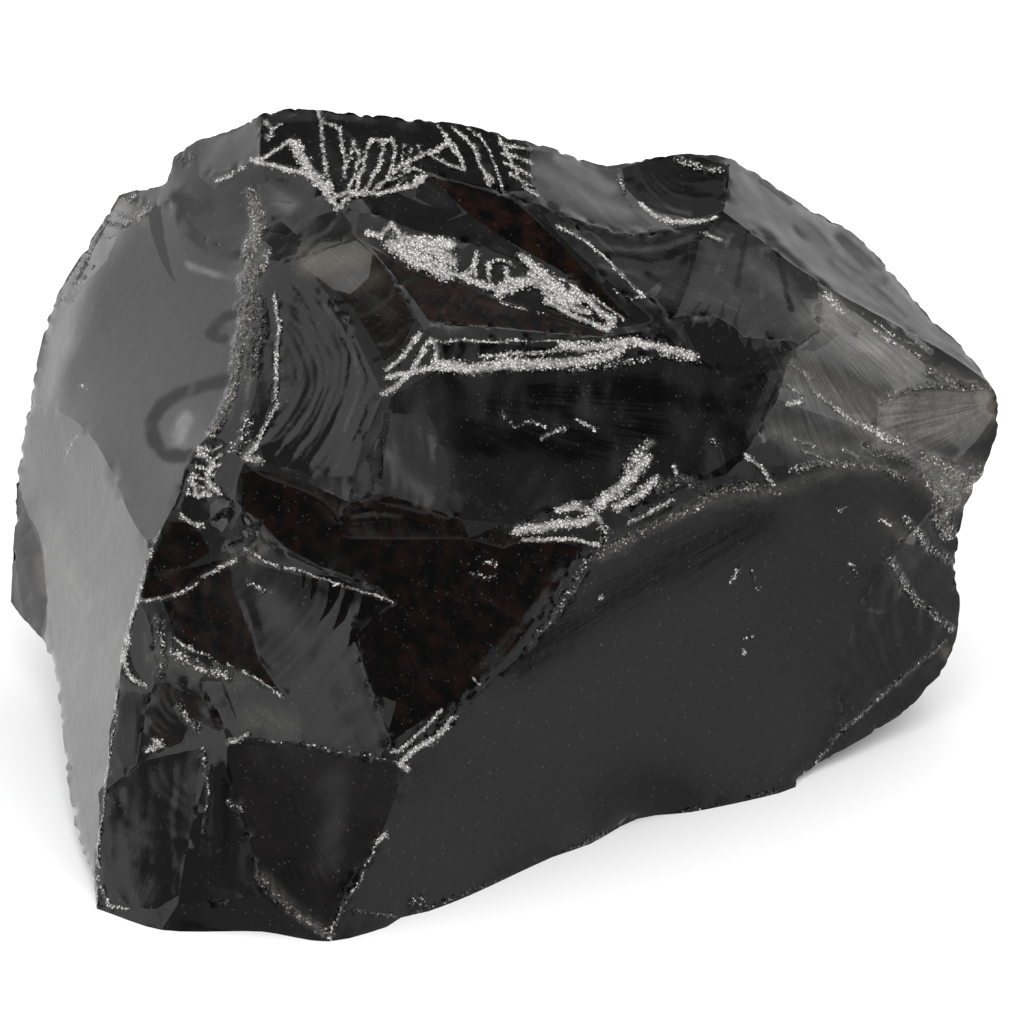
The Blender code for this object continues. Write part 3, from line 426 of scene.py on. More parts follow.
# Soft bends of the glass: darker or lighter than the glass beside them, how far each reaches to each side
# in millimetres, and the points along it
BENDS = [
    ("darker", 9, [(1.9, -17.1), (16.9, -7.1), (31.9, 0.4)]),
    ("lighter", 4, [(-55.6, 22.9), (-53.1, 31.6), (-48.8, 38.5)]),
    ("lighter", 3, [(-57.5, 15.4), (-55.6, 22.9)]),
    ("lighter", 1.6, [(-39.4, 12.9), (-40.6, 10.4)]),
    ("lighter", 2, [(4.4, 44.1), (10.6, 40.4), (15.0, 38.5)]),
    ("lighter", 1.6, [(6.9, 45.4), (13.1, 41.6)]),
    ("lighter", 1.6, [(28.8, 42.9), (38.1, 33.5)]),
    ("darker", 1.6, [(36.9, 36.6), (49.4, 26.6)]),
    ("lighter", 1.6, [(49.4, 27.9), (55.6, 22.9), (59.4, 19.1)]),
    ("darker", 1.4, [(41.9, 35.4), (46.9, 30.4)]),
    ("lighter", 2.6, [(30.0, 32.9), (34.4, 29.1), (36.9, 25.4)]),
    ("lighter", 1.6, [(39.4, 26.6), (43.1, 24.1)]),
    ("darker", 3, [(36.9, 19.1), (43.1, 16.6), (46.9, 15.4)]),
    ("darker", 2.2, [(34.4, 12.9), (41.9, 10.4)]),
    ("lighter", 2.4, [(49.4, 12.9), (56.9, 14.1)]),
    ("darker", 1.4, [(51.9, 10.4), (55.6, 9.1)]),
    ("darker", 3.5, [(-0.6, 15.4), (11.9, 16.6), (21.9, 16.6)]),
    ("darker", 3.5, [(-4.4, 10.4), (6.9, 9.1), (16.9, 11.6)]),
    ("darker", 2.5, [(24.4, 15.4), (29.4, 15.4)]),
    ("lighter", 2.6, [(-15.6, 10.4), (-13.1, 6.6), (-9.4, 3.5)]),
    ("lighter", 3, [(-29.4, -9.6), (-25.6, -14.6)]),
    ("lighter", 3, [(-24.4, -19.6), (-20.6, -25.9)]),
    ("darker", 1.2, [(-31.9, -8.4), (-30.4, -14.6)]),
    ("lighter", 4, [(-20.6, -32.1), (-21.9, -42.1)]),
    ("darker", 2, [(-35.0, -30.9), (-34.4, -42.1)]),
    ("darker", 2.6, [(-41.9, -33.4), (-42.5, -43.4)]),
    ("darker", 1.2, [
        (-33.6, 17.9), (-37.5, 17.0), (-40.6, 16.0), (-42.9, 14.4), (-43.9, 12.4), (-43.6, 10.1),
        (-42.1, 8.6), (-39.9, 8.2), (-37.4, 8.9)
    ]),
    ("darker", 0.9, [(-33.1, 26.1), (-34.9, 25.6), (-36.6, 23.4), (-34.9, 22.9)]),
    ("darker", 1, [(-40.4, 38.4), (-38.9, 35.9), (-36.6, 34.1), (-34.1, 33.4), (-31.9, 33.4)]),
    ("lighter", 0.7, [(-39.6, 32.1), (-37.1, 31.2), (-34.1, 30.5), (-31.9, 30.8)]),
    ("darker", 0.6, [(5.4, 39.4), (8.4, 37.6), (12.1, 35.9), (15.9, 35.2), (19.9, 35.6), (24.4, 36.9)]),
    ("lighter", 0.5, [(8.4, 35.9), (12.1, 34.4), (16.1, 33.9), (20.4, 34.4), (23.4, 35.6)]),
    ("darker", 0.5, [(10.0, 34.1), (14.4, 33.1), (18.1, 32.6), (22.6, 33.9)]),
    ("lighter", 0.6, [(11.9, 31.9), (16.9, 30.6), (21.4, 31.4)]),
    ("darker", 0.8, [(17.5, 30.9), (20.0, 29.9), (21.9, 31.9), (23.6, 34.4)]),
    ("lighter", 0.5, [(6.9, 38.9), (11.9, 36.9), (16.9, 36.4)]),
    ("darker", 0.8, [(24.4, 33.9), (23.4, 29.4), (22.1, 25.6)]),
    ("lighter", 0.5, [(28.1, 36.0), (25.9, 30.4), (24.4, 27.9)]),
    ("darker", 0.5, [(30.0, 36.0), (28.8, 29.1)]),
    ("lighter", 0.5, [(31.9, 34.1), (31.9, 27.9)]),
    ("darker", 0.5, [(33.8, 33.5), (35.6, 26.6)]),
    ("lighter", 0.7, [(30.0, 42.9), (38.8, 32.6), (43.1, 28.5), (53.1, 21.4)]),
    ("darker", 0.7, [(28.1, 40.4), (33.1, 35.4), (43.1, 26.6)]),
    ("lighter", 0.7, [(33.1, 41.6), (36.9, 37.2), (43.1, 31.0), (49.4, 25.6)]),
    ("lighter", 0.7, [(36.9, 39.6), (43.1, 32.6), (50.0, 26.6), (56.9, 21.6)]),
    ("darker", 0.5, [(31.9, 42.6), (35.6, 39.9)]),
    ("lighter", 0.5, [(29.4, 43.5), (31.9, 40.4)]),
    ("lighter", 0.4, [
        (-27.4, 30.1), (-25.4, 26.9), (-24.6, 22.9), (-25.1, 18.9), (-26.6, 15.1), (-28.1, 12.9)
    ]),
    ("darker", 0.4, [
        (-26.6, 30.1), (-24.1, 26.4), (-23.1, 22.2), (-23.6, 18.5), (-25.2, 14.9), (-27.6, 11.6)
    ]),
    ("lighter", 0.4, [
        (-25.6, 29.1), (-22.9, 25.1), (-21.9, 21.6), (-22.4, 17.6), (-24.1, 13.9), (-26.9, 10.9)
    ]),
    ("lighter", 0.45, [
        (-24.9, 28.9), (-21.9, 24.8), (-20.6, 20.9), (-21.0, 16.9), (-22.6, 13.4), (-25.6, 9.6)
    ]),
    ("darker", 0.4, [
        (-23.6, 28.1), (-20.4, 23.6), (-19.1, 19.8), (-19.6, 16.1), (-21.4, 12.4), (-24.4, 8.5)
    ]),
    ("lighter", 0.4, [(-22.4, 27.1), (-19.1, 22.2), (-17.9, 18.5), (-18.4, 14.8), (-20.1, 11.4)]),
    ("darker", 0.4, [(-21.1, 25.9), (-18.1, 20.9), (-16.6, 17.2), (-17.1, 13.9), (-18.9, 10.4)]),
    ("darker", 0.4, [(-20.9, 27.2), (-18.1, 27.6), (-15.9, 29.4), (-14.9, 31.9)]),
    ("lighter", 0.4, [(-20.0, 25.1), (-16.9, 25.9), (-14.1, 28.1), (-13.1, 30.1)]),
    ("darker", 0.4, [(-18.8, 23.1), (-15.4, 23.9), (-12.9, 26.1), (-11.9, 27.9)]),
    ("lighter", 0.4, [(-17.4, 21.6), (-14.1, 22.4), (-11.6, 24.6)]),
    ("darker", 0.4, [(-16.1, 20.1), (-13.1, 21.4), (-10.9, 23.4)]),
    ("darker", 0.8, [(42.5, -20.9), (46.9, -18.1), (50.0, -14.6), (51.2, -10.9), (50.0, -8.1)]),
    ("lighter", 0.7, [(45.6, -22.1), (50.0, -19.6), (53.1, -15.9), (54.1, -12.8)]),
    ("darker", 0.7, [(43.1, -15.9), (46.2, -14.0), (48.1, -10.9), (48.1, -8.4)]),
    ("lighter", 0.8, [(-47.1, -33.4), (-47.6, -38.4), (-47.4, -43.4), (-45.6, -47.8)]),
    ("darker", 0.8, [(-44.4, -30.2), (-44.9, -37.1), (-44.4, -44.6)]),
    ("lighter", 0.6, [(-40.6, -29.6), (-41.1, -37.1), (-41.1, -45.9)]),
    ("lighter", 0.6, [(-49.1, -34.6), (-49.4, -40.9)]),
    ("darker", 0.6, [(-30.4, 21.6), (-29.9, 15.4), (-31.1, 10.4)]),
    ("lighter", 0.6, [(-31.6, 17.9), (-32.4, 12.9)]),
    ("darker", 0.5, [(-29.4, 27.9), (-29.4, 22.9)]),
    ("darker", 0.6, [(-25.6, -7.1), (-20.0, -9.6)]),
    ("lighter", 0.5, [(-32.6, -9.6), (-31.1, -14.6), (-28.8, -19.0)]),
    ("darker", 0.5, [(-30.4, -16.5), (-26.9, -20.9)]),
    ("lighter", 0.5, [(-48.1, -22.1), (-48.6, -27.1), (-47.9, -30.2)]),
    ("darker", 0.6, [(-45.6, -22.1), (-45.6, -28.4)]),
    ("lighter", 0.5, [(-45.0, -12.1), (-44.4, -17.1)]),
    ("lighter", 0.5, [(-36.2, 0.4), (-35.0, 1.4), (-33.6, 2.2)]),
    ("lighter", 0.6, [(-43.8, -2.8), (-40.6, -3.6), (-37.5, -3.1)]),
    ("lighter", 0.5, [(-43.1, -6.5), (-39.4, -5.6)]),
    ("lighter", 0.5, [(-38.1, -22.1), (-35.0, -25.6)]),
    ("lighter", 0.7, [(-39.4, -9.6), (-38.6, -12.1)]),
    ("lighter", 0.7, [(-36.9, -7.1), (-37.5, -10.9)]),
    ("lighter", 0.7, [(-36.2, -13.4), (-33.8, -14.6)]),
    ("lighter", 0.4, [(6.9, -5.9), (4.4, -9.6), (1.9, -14.6)]),
    ("lighter", 0.4, [(9.4, -6.5), (6.9, -10.2), (3.1, -15.2)]),
    ("lighter", 0.6, [(-9.4, -22.1), (-13.1, -25.9)]),
    ("darker", 0.9, [(16.9, 41.6), (23.1, 41.6)]),
    ("lighter", 0.6, [(18.1, 39.8), (23.1, 38.5)]),
    ("darker", 0.5, [(23.1, 42.9), (27.1, 42.9)]),
    ("darker", 0.5, [(23.1, 40.9), (27.1, 40.6)]),
    ("darker", 1.4, [(-40.6, 40.4), (-38.6, 38.9), (-37.1, 39.6)]),
    ("lighter", 1.7, [(-30.4, 41.6), (-26.9, 39.6)]),
    ("darker", 0.8, [
        (-29.4, 43.1), (-26.4, 42.1), (-24.6, 40.6), (-24.4, 38.9), (-26.1, 37.6), (-28.6, 37.6)
    ]),
    ("darker", 0.6, [(-40.6, 38.9), (-39.9, 35.9)]),
    ("lighter", 0.8, [(-14.6, 13.4), (-15.6, 5.9)]),
    ("lighter", 1, [(-13.6, 12.9), (-13.4, 9.1), (-13.9, 4.1)]),
    ("lighter", 0.9, [(-12.1, 12.4), (-12.1, 8.5), (-12.4, 3.4)]),
    ("lighter", 1, [(-10.9, 12.9), (-10.6, 9.1), (-11.1, 2.9)]),
    ("lighter", 1.1, [(-9.4, 11.9), (-8.9, 8.5), (-9.6, 2.5)]),
    ("lighter", 0.9, [(-8.1, 8.9), (-7.4, 5.6), (-8.1, 2.1)]),
    ("lighter", 0.9, [(-6.2, 3.6), (-5.6, 2.9), (-5.9, 1.8)]),
    ("lighter", 0.8, [(-3.4, 2.9), (-3.1, 2.1)]),
    ("lighter", 0.7, [(-0.6, 2.6), (0.0, 2.0)]),
    ("lighter", 1.1, [(-29.4, 50.4), (-21.9, 50.9), (-13.1, 49.9), (-6.9, 48.9)]),
    ("lighter", 1, [(-6.2, 48.5), (-3.1, 46.6), (-0.6, 41.6)]),
]

# Strokes of crushed glass, and of painted glints: along sharp ridges and over the rippled, glittering
# bands, the white stands for light that they catch. The points along each, how far it reaches to each side in
# millimetres, how white it is, and how crumbled
GLINT_AND_GRIT_STROKES = [
    # the crushed ridge on the left
    ([(-31.6, 40.9), (-30.4, 37.1), (-31.9, 33.4)], 1.3, 0.47, 0.9),
    ([(-29.6, 33.4), (-30.1, 31.6), (-31.2, 30.9)], 0.7, 0.5, 0.7),
    ([(-31.1, 31.6), (-32.1, 29.8), (-31.6, 27.9), (-32.4, 26.4)], 1.6, 0.3, 1),
    ([(-32.4, 26.4), (-32.4, 24.1), (-33.1, 22.2), (-33.4, 18.1)], 1.1, 0.41, 1),
    ([(-31.1, 27.9), (-30.4, 24.1), (-31.4, 21.4), (-31.6, 18.9)], 1.6, 0.2, 0.8),
    ([(-33.6, 17.2), (-35.1, 13.1), (-36.4, 11.1)], 0.9, 0.4, 0.8),
    ([(-28.4, 28.5), (-28.1, 24.1), (-28.5, 14.8), (-29.6, 12.2), (-31.1, 9.5)], 0.38, 0.72, 0.3),
    ([(-31.1, 9.5), (-32.1, 8.1), (-30.4, 7.6)], 0.8, 0.8, 0.5),
    ([(-31.9, 12.9), (-32.4, 10.4), (-33.6, 9.1)], 1.2, 0.3, 0.4),
    # the band under the top edge: its white loops are a painted glint of light on its ripples
    ([(-30.0, 50.1), (-29.0, 49.1), (-29.4, 47.8)], 0.4, 0.95, 0.3),
    ([(-29.0, 49.1), (-27.6, 49.8)], 0.32, 0.9, 0.3),
    ([(-31.6, 45.1), (-29.6, 45.6), (-26.6, 47.5), (-25.6, 46.9)], 0.4, 1, 0.3),
    ([(-31.1, 44.9), (-25.4, 43.6), (-23.9, 42.6), (-21.1, 39.8), (-20.4, 39.4)], 0.5, 1, 0.4),
    ([(-26.1, 47.1), (-24.1, 43.6), (-22.1, 41.4)], 1, 0.95, 0.4),
    ([(-23.4, 51.4), (-22.8, 49.8), (-22.4, 44.8), (-21.9, 42.2), (-21.1, 40.8)], 0.34, 1, 0.3),
    ([(-22.6, 49.9), (-20.6, 48.9), (-19.6, 44.6), (-19.9, 42.6)], 0.34, 1, 0.3),
    ([
        (-20.1, 43.9), (-19.1, 45.4), (-18.8, 47.6), (-18.1, 45.4), (-18.5, 43.1), (-19.4, 41.4)
    ], 0.29, 0.95, 0.3),
    ([(-16.8, 47.5), (-18.4, 41.4)], 0.32, 1, 0.3),
    ([(-16.8, 47.6), (-15.1, 47.4), (-15.4, 45.4), (-17.1, 41.6)], 0.32, 1, 0.3),
    ([
        (-14.9, 47.4), (-14.1, 47.5), (-13.6, 46.4), (-14.0, 44.4), (-14.8, 42.6), (-15.9, 41.4)
    ], 0.34, 1, 0.3),
    ([(-12.5, 46.9), (-12.8, 45.0), (-13.6, 43.4)], 0.26, 0.9, 0.2),
    ([(-11.6, 46.6), (-11.9, 44.9), (-12.5, 43.6)], 0.26, 0.9, 0.2),
    ([(-10.8, 46.9), (-10.5, 45.4)], 0.27, 0.9, 0.2),
    ([(-13.9, 43.6), (-11.9, 45.0), (-10.0, 45.9), (-8.4, 46.2), (-7.1, 47.2), (-7.2, 48.2)], 0.37, 1, 0.3),
    ([(-7.1, 47.1), (-5.6, 45.4), (-5.1, 44.0)], 0.34, 1, 0.3),
    ([(-5.1, 43.8), (-6.9, 44.4), (-9.1, 45.8)], 0.3, 1, 0.3),
    ([(-8.4, 49.5), (-6.1, 46.6), (-5.5, 45.1)], 0.26, 0.9, 0.2),
    ([(-6.4, 49.4), (-4.0, 46.6), (-1.8, 41.8)], 0.32, 0.95, 0.2),
    ([(-4.6, 49.1), (-3.1, 47.9), (-1.9, 46.0), (-0.6, 42.2), (0.1, 40.9)], 0.26, 0.85, 0.2),
    ([(-3.4, 45.6), (-2.9, 43.9), (-1.6, 42.5)], 0.34, 0.9, 0.2),
    ([(-0.8, 48.1), (2.5, 41.6), (3.9, 40.6)], 0.32, 0.95, 0.2),
    ([(-0.6, 47.1), (3.2, 46.4)], 0.34, 0.9, 0.2),
    ([(-0.4, 45.9), (3.2, 44.9)], 0.34, 0.9, 0.2),
    ([(0.0, 44.6), (3.2, 43.4)], 0.32, 0.9, 0.2),
    ([(0.5, 43.4), (3.4, 41.9)], 0.32, 0.9, 0.2),
    ([
        (-21.9, 40.1), (-20.0, 40.8), (-15.4, 41.0), (-12.9, 41.4), (-11.1, 41.9), (-9.9, 43.1)
    ], 0.48, 1, 0.3),
    ([(-16.2, 41.6), (-14.8, 42.6), (-13.1, 42.9), (-11.6, 43.9), (-10.5, 43.9)], 0.29, 0.95, 0.3),
    ([(-13.4, 41.6), (-12.6, 42.6), (-11.6, 41.6), (-11.0, 42.9), (-10.0, 43.5)], 0.26, 0.95, 0.2),
    ([(-20.9, 39.1), (-19.1, 40.5), (-17.1, 41.4)], 0.48, 0.85, 0.3),
    # the crushed slopes in the middle, with their glitter painted white
    ([(-14.1, 34.6), (-7.1, 30.9)], 1.5, 1, 0.4),
    ([(-12.6, 35.4), (-9.4, 34.1), (-6.6, 32.6)], 1.3, 0.95, 0.4),
    ([(-3.9, 32.6), (-3.6, 29.9)], 0.35, 1, 0.2),
    ([(-2.1, 32.4), (-1.8, 29.4)], 0.35, 1, 0.2),
    ([(0.2, 31.6), (0.8, 28.6)], 0.45, 1, 0.2),
    ([(3.1, 30.9), (5.4, 28.4), (7.6, 26.9)], 1.1, 0.9, 0.3),
    ([(-17.1, 35.9), (-15.6, 35.6), (-14.2, 37.1), (-13.1, 35.9)], 0.55, 0.95, 0.4),
    ([(-12.6, 35.1), (-10.0, 35.0), (-6.6, 34.4)], 1.1, 1, 0.4),
    ([(-12.9, 34.1), (-10.9, 32.4), (-8.1, 31.4)], 1.3, 1, 0.4),
    ([(-7.1, 33.9), (-7.4, 32.6), (-8.6, 31.4)], 0.8, 0.95, 0.3),
    ([(-3.6, 33.4), (-4.0, 31.9), (-5.1, 30.4)], 0.55, 0.95, 0.3),
    ([(-8.6, 31.1), (-6.2, 30.8), (-3.1, 29.9), (-0.4, 28.8)], 0.62, 1, 0.3),
    ([(-0.6, 28.9), (1.9, 29.9), (3.6, 30.1), (8.8, 27.6)], 1.3, 1, 0.4),
    ([(2.1, 33.1), (6.9, 29.1)], 0.85, 1, 0.3),
    ([(5.0, 27.6), (6.9, 26.4), (12.6, 24.1)], 0.5, 1, 0.3),
    ([(8.4, 29.1), (11.9, 26.1), (13.5, 25.1), (12.6, 24.1)], 0.72, 1, 0.3),
    ([(6.9, 28.4), (7.6, 27.1), (8.9, 26.4), (10.4, 26.1)], 0.6, 0.95, 0.3),
    ([(-2.4, 31.9), (-0.6, 32.6), (0.9, 31.9)], 0.4, 0.6, 0.2),
    ([(5.0, 31.6), (11.9, 27.4), (15.1, 25.1)], 0.16, 0.9, 0.1),
    ([(-0.6, 27.6), (5.6, 25.6)], 0.15, 0.9, 0.1),
    ([(6.6, 36.9), (9.4, 35.4), (12.6, 32.9), (17.2, 28.1)], 0.3, 0.85, 0.2),
    ([(13.4, 28.9), (15.6, 27.9), (17.5, 28.0)], 0.2, 0.6, 0.1),
    ([(-15.2, 15.9), (-13.1, 17.1), (-11.6, 18.6), (-10.6, 20.6), (-9.1, 22.6)], 0.6, 0.9, 0.4),
    ([(-14.6, 18.9), (-13.1, 20.1), (-10.6, 23.4)], 0.55, 0.9, 0.3),
    ([(-14.6, 17.9), (-7.6, 19.6)], 0.6, 0.9, 0.3),
    ([(-8.6, 22.5), (-8.4, 21.4), (-8.6, 19.9)], 0.5, 0.9, 0.3),
    ([(-8.4, 19.6), (-4.4, 19.2), (-0.6, 19.6), (7.6, 19.9)], 1.15, 1, 0.4),
    ([(-3.1, 20.6), (6.9, 21.4)], 0.35, 0.8, 0.2),
    ([(7.1, 22.1), (9.4, 21.6), (12.4, 21.9), (15.9, 22.6), (19.4, 21.9), (23.4, 20.6)], 0.85, 1, 0.4),
    ([(7.6, 20.1), (10.6, 20.1), (13.4, 20.9), (14.9, 22.1)], 1, 1, 0.4),
    ([(8.1, 18.9), (13.1, 19.6), (19.4, 20.9), (24.0, 20.0)], 0.62, 0.38, 0.2),
    ([(-8.6, 22.6), (6.9, 22.5), (13.1, 22.8)], 0.18, 0.85, 0.1),
    # the crushed ridge along the great plain, and the slopes above it, with their glitter painted white
    ([(11.5, -4.1), (13.4, -2.8), (24.4, 2.6)], 0.55, 0.41, 0.9),
    ([(24.4, 2.9), (26.9, 4.1), (30.0, 4.6), (33.8, 4.1)], 0.7, 0.41, 0.9),
    ([(35.6, 6.6), (38.8, 7.4), (46.9, 6.9), (50.0, 5.4)], 0.5, 0.44, 0.7),
    ([(45.6, 8.9), (49.4, 8.4), (51.9, 6.6), (53.1, 5.4)], 0.9, 0.28, 0.9),
    ([(1.4, -0.9), (10.6, 0.4)], 0.9, 0.95, 0.4),
    ([(1.9, -2.1), (5.4, -1.9), (8.8, -2.1), (11.6, -2.8)], 0.42, 1, 0.4),
    ([(6.6, 1.4), (8.8, 2.1), (10.6, 1.6), (11.9, 0.1)], 0.7, 0.9, 0.4),
    ([(11.6, 0.4), (12.6, -1.5), (12.4, -3.6), (10.6, -4.6), (9.1, -6.5)], 0.8, 0.34, 0.6),
    ([(11.6, 2.2), (15.4, 5.4), (17.5, 7.9)], 1.3, 0.88, 0.4),
    ([(13.9, 1.9), (16.4, 3.4), (18.8, 5.4)], 0.9, 0.8, 0.4),
    ([(15.1, 6.6), (16.4, 8.9), (18.1, 9.9)], 0.9, 0.6, 0.3),
    ([(18.8, 4.1), (21.9, 5.4), (24.4, 4.4)], 0.8, 0.19, 0.8),
    ([(8.4, 2.6), (9.4, 2.5)], 0.5, 1, 0.2),
    ([(15.4, 0.1), (17.5, 1.0), (20.6, 2.9)], 0.4, 0.75, 0.4),
    ([(10.6, -4.4), (8.4, -8.4), (5.4, -12.4), (3.6, -14.1)], 0.45, 0.26, 0.6),
    ([(-7.9, -23.1), (-10.0, -25.6), (-12.6, -27.9), (-14.1, -28.4)], 0.3, 0.95, 0.3),
    ([(-6.2, -24.1), (-8.6, -26.4), (-13.1, -29.6), (-12.1, -30.6)], 0.5, 0.9, 0.5),
    ([(-4.4, -18.6), (-3.1, -20.1)], 0.16, 0.9, 0.1),
    # the right end
    ([(53.4, 4.9), (55.6, 2.9), (54.1, 1.4), (55.1, -0.9)], 1.6, 0.52, 0.9),
    ([(55.4, 6.4), (57.1, 4.6), (58.8, 6.6)], 1.4, 0.4, 0.9),
    ([(52.5, 8.4), (56.6, 6.1)], 0.9, 0.39, 0.6),
    ([(46.9, 15.1), (50.0, 16.4), (53.1, 17.1), (60.4, 16.9)], 0.5, 0.3, 0.7),
    ([(52.9, 18.9), (55.4, 17.9), (57.1, 16.9)], 0.9, 0.3, 0.6),
    ([(48.1, -4.6), (51.2, -9.6), (55.6, -13.1)], 0.7, 0.34, 0.6),
    ([(50.0, 0.4), (52.5, -2.8), (55.6, -4.6)], 0.9, 0.32, 0.5),
    ([(30.0, 8.5), (31.9, 6.6), (33.4, 4.6)], 0.5, 0.72, 0.5),
    # the lower left
    ([(-38.1, 9.5), (-36.4, 9.1), (-34.9, 9.6)], 0.26, 0.95, 0.1),
    ([(-38.4, 8.4), (-36.6, 7.9), (-34.9, 8.5)], 0.26, 0.95, 0.1),
    ([(-38.6, 7.2), (-36.9, 6.6), (-35.2, 7.2)], 0.3, 1, 0.1),
    ([(-39.0, 6.1), (-37.4, 5.5), (-35.6, 6.1)], 0.26, 0.95, 0.1),
    ([(-39.2, 5.0), (-37.6, 4.4), (-36.0, 4.9)], 0.26, 0.95, 0.1),
    ([(-39.4, 3.9), (-38.1, 3.2), (-36.5, 3.6)], 0.3, 1, 0.1),
    ([(-40.1, 1.0), (-37.5, -0.2)], 0.26, 0.95, 0.1),
    ([(-42.5, -0.9), (-44.6, -5.9), (-46.8, -13.6)], 0.3, 0.62, 0.4),
    ([(-46.8, -13.6), (-47.4, -17.1), (-46.4, -19.1), (-44.4, -20.1)], 0.42, 0.8, 0.4),
    ([(-48.1, -21.1), (-50.5, -40.2), (-50.6, -47.8)], 0.22, 0.45, 0.4),
    ([(-38.1, 9.1), (-36.2, 7.6), (-36.9, 5.4), (-35.4, 3.9)], 0.65, 0.8, 0.3),
    ([(-39.1, 5.4), (-38.1, 3.4), (-36.1, 4.6)], 0.55, 0.8, 0.3),
    ([(-40.1, 0.9), (-37.4, -0.6)], 0.45, 0.8, 0.3),
    ([(-37.5, -6.5), (-33.6, -4.6)], 0.42, 0.8, 0.3),
    ([(-45.4, -9.6), (-41.9, -9.4), (-38.1, -7.4)], 0.3, 0.85, 0.3),
    ([(-43.1, -11.9), (-42.4, -17.1), (-42.9, -18.6)], 0.8, 0.28, 0.6),
    ([(-41.2, -14.1), (-38.1, -16.1), (-33.1, -18.1), (-27.5, -21.4)], 0.2, 0.9, 0.3),
    ([(-41.2, -15.9), (-38.1, -17.6), (-34.4, -19.1)], 0.9, 0.38, 0.5),
    ([(-40.4, -22.9), (-38.4, -25.4)], 0.75, 0.44, 0.6),
    ([(-43.4, -26.9), (-42.4, -27.4), (-44.4, -28.1)], 0.55, 0.85, 0.5),
    ([(-34.1, -27.1), (-31.9, -26.1)], 0.5, 0.8, 0.5),
    ([(-31.9, -26.9), (-25.6, -27.2), (-20.0, -28.4), (-13.4, -29.4)], 0.16, 0.5, 0.3),
    ([(-31.9, -7.1), (-30.4, -8.1), (-29.1, -8.6)], 0.3, 0.5, 0.2),
    ([(-32.4, -3.1), (-28.1, -5.4), (-20.6, -7.4), (-13.6, -9.9)], 0.18, 0.85, 0.3),
    ([(-30.4, -43.6), (-29.1, -45.4), (-26.9, -47.6), (-21.8, -50.9)], 0.75, 0.39, 0.9),
    ([(-21.8, -51.8), (-20.0, -47.1), (-18.1, -44.6), (-15.2, -38.4)], 0.26, 0.6, 0.5),
    ([(-34.1, -34.6), (-32.9, -35.4)], 0.6, 0.39, 0.7),
    ([(-37.5, -27.8), (-36.6, -33.4), (-37.4, -38.4)], 0.22, 0.3, 0.3),
    ([(-50.2, -44.6), (-49.1, -47.4), (-46.9, -47.9)], 0.35, 0.6, 0.5),
    # the edge below
    ([
        (-20.0, -47.8), (-13.1, -48.9), (0.0, -44.2), (16.5, -36.8), (26.9, -35.2), (36.2, -32.9)
    ], 0.25, 0.23, 0.6),
    ([(-11.4, -47.1), (-10.1, -46.6)], 0.9, 0.3, 0.6),
    ([(-15.9, -39.4), (-14.9, -38.6)], 0.5, 0.85, 0.5),
    ([(36.2, -32.9), (41.9, -25.9), (55.0, -14.6)], 0.22, 0.35, 0.5),
    # the top and left edges
    ([(-53.8, 29.8), (-50.0, 37.6), (-47.5, 36.9), (-44.4, 39.8)], 0.35, 0.3, 0.6),
    ([(-48.1, 38.5), (-46.2, 37.6), (-44.4, 39.1)], 0.55, 0.33, 0.6),
    ([(-48.1, 40.9), (-46.9, 40.1), (-46.1, 40.9)], 0.45, 0.33, 0.6),
    ([(-40.4, 45.4), (-39.1, 45.6)], 0.7, 0.14, 0.6),
    ([(-36.1, 42.6), (-34.1, 43.1), (-32.4, 44.4)], 0.4, 0.62, 0.4),
    ([(16.9, 39.6), (18.8, 38.1), (20.9, 37.4), (23.8, 37.4), (26.2, 38.1)], 0.42, 0.95, 0.3),
    ([(21.4, 45.4), (25.0, 43.9), (27.1, 43.9)], 0.55, 0.39, 0.6),
    ([(14.1, 43.9), (14.9, 40.9)], 0.25, 0.6, 0.5),
    # scratches and bruises
    ([(-0.6, 14.1), (1.2, 11.9), (3.1, 12.6), (5.0, 12.0)], 0.22, 0.5, 0.1),
    ([(4.4, 10.4), (5.9, 11.4), (7.6, 11.9)], 0.4, 0.72, 0.2),
    ([(8.9, 12.9), (11.1, 11.5)], 0.26, 0.85, 0.1),
    ([(-4.4, -6.1), (-1.1, -7.1)], 0.35, 0.5, 0.1),
    ([(-2.6, -4.6), (-1.1, -4.9)], 0.35, 0.55, 0.1),
    ([(20.9, 6.9), (21.2, 5.6)], 0.35, 0.95, 0.2),
    ([(25.9, 10.4), (26.4, 9.9)], 0.35, 0.85, 0.2),
    ([(24.9, 35.9), (26.9, 35.1)], 0.42, 0.85, 0.2),
    ([(35.1, 14.6), (36.9, 15.1)], 0.42, 0.9, 0.2),
    ([(40.1, 28.4), (42.1, 26.4)], 0.75, 0.62, 0.2),
    ([(44.4, 25.9), (48.1, 23.6), (52.5, 21.4)], 0.2, 0.75, 0.1),
    ([(45.6, 24.1), (49.4, 21.9), (51.6, 20.9)], 0.18, 0.7, 0.1),
    ([(38.4, 16.4), (41.6, 13.9), (48.1, 10.1)], 0.3, 0.75, 0.2),
    ([(43.1, 12.9), (50.0, 9.9)], 0.6, 0.5, 0.3),
    ([(35.6, 19.6), (38.4, 17.9)], 0.18, 0.6, 0.1),
    ([(35.1, 17.1), (36.9, 15.9)], 0.18, 0.6, 0.1),
    ([(35.9, 10.4), (38.4, 9.6)], 0.18, 0.6, 0.1),
    ([(36.9, 8.9), (39.1, 8.1)], 0.18, 0.6, 0.1),
    ([(41.9, 9.1), (43.8, 8.1)], 0.22, 0.6, 0.1),
    ([(28.1, -7.1), (29.1, -5.6)], 0.3, 0.7, 0.1),
    ([(11.9, -9.1), (12.1, -9.4)], 0.36, 0.85, 0.1),
    ([(29.6, -14.4), (30.9, -13.9)], 0.24, 0.6, 0.1),
    ([(29.6, -15.9), (30.1, -16.0)], 0.26, 0.75, 0.1),
    ([(41.1, 1.4), (42.1, 1.9)], 0.3, 0.7, 0.1),
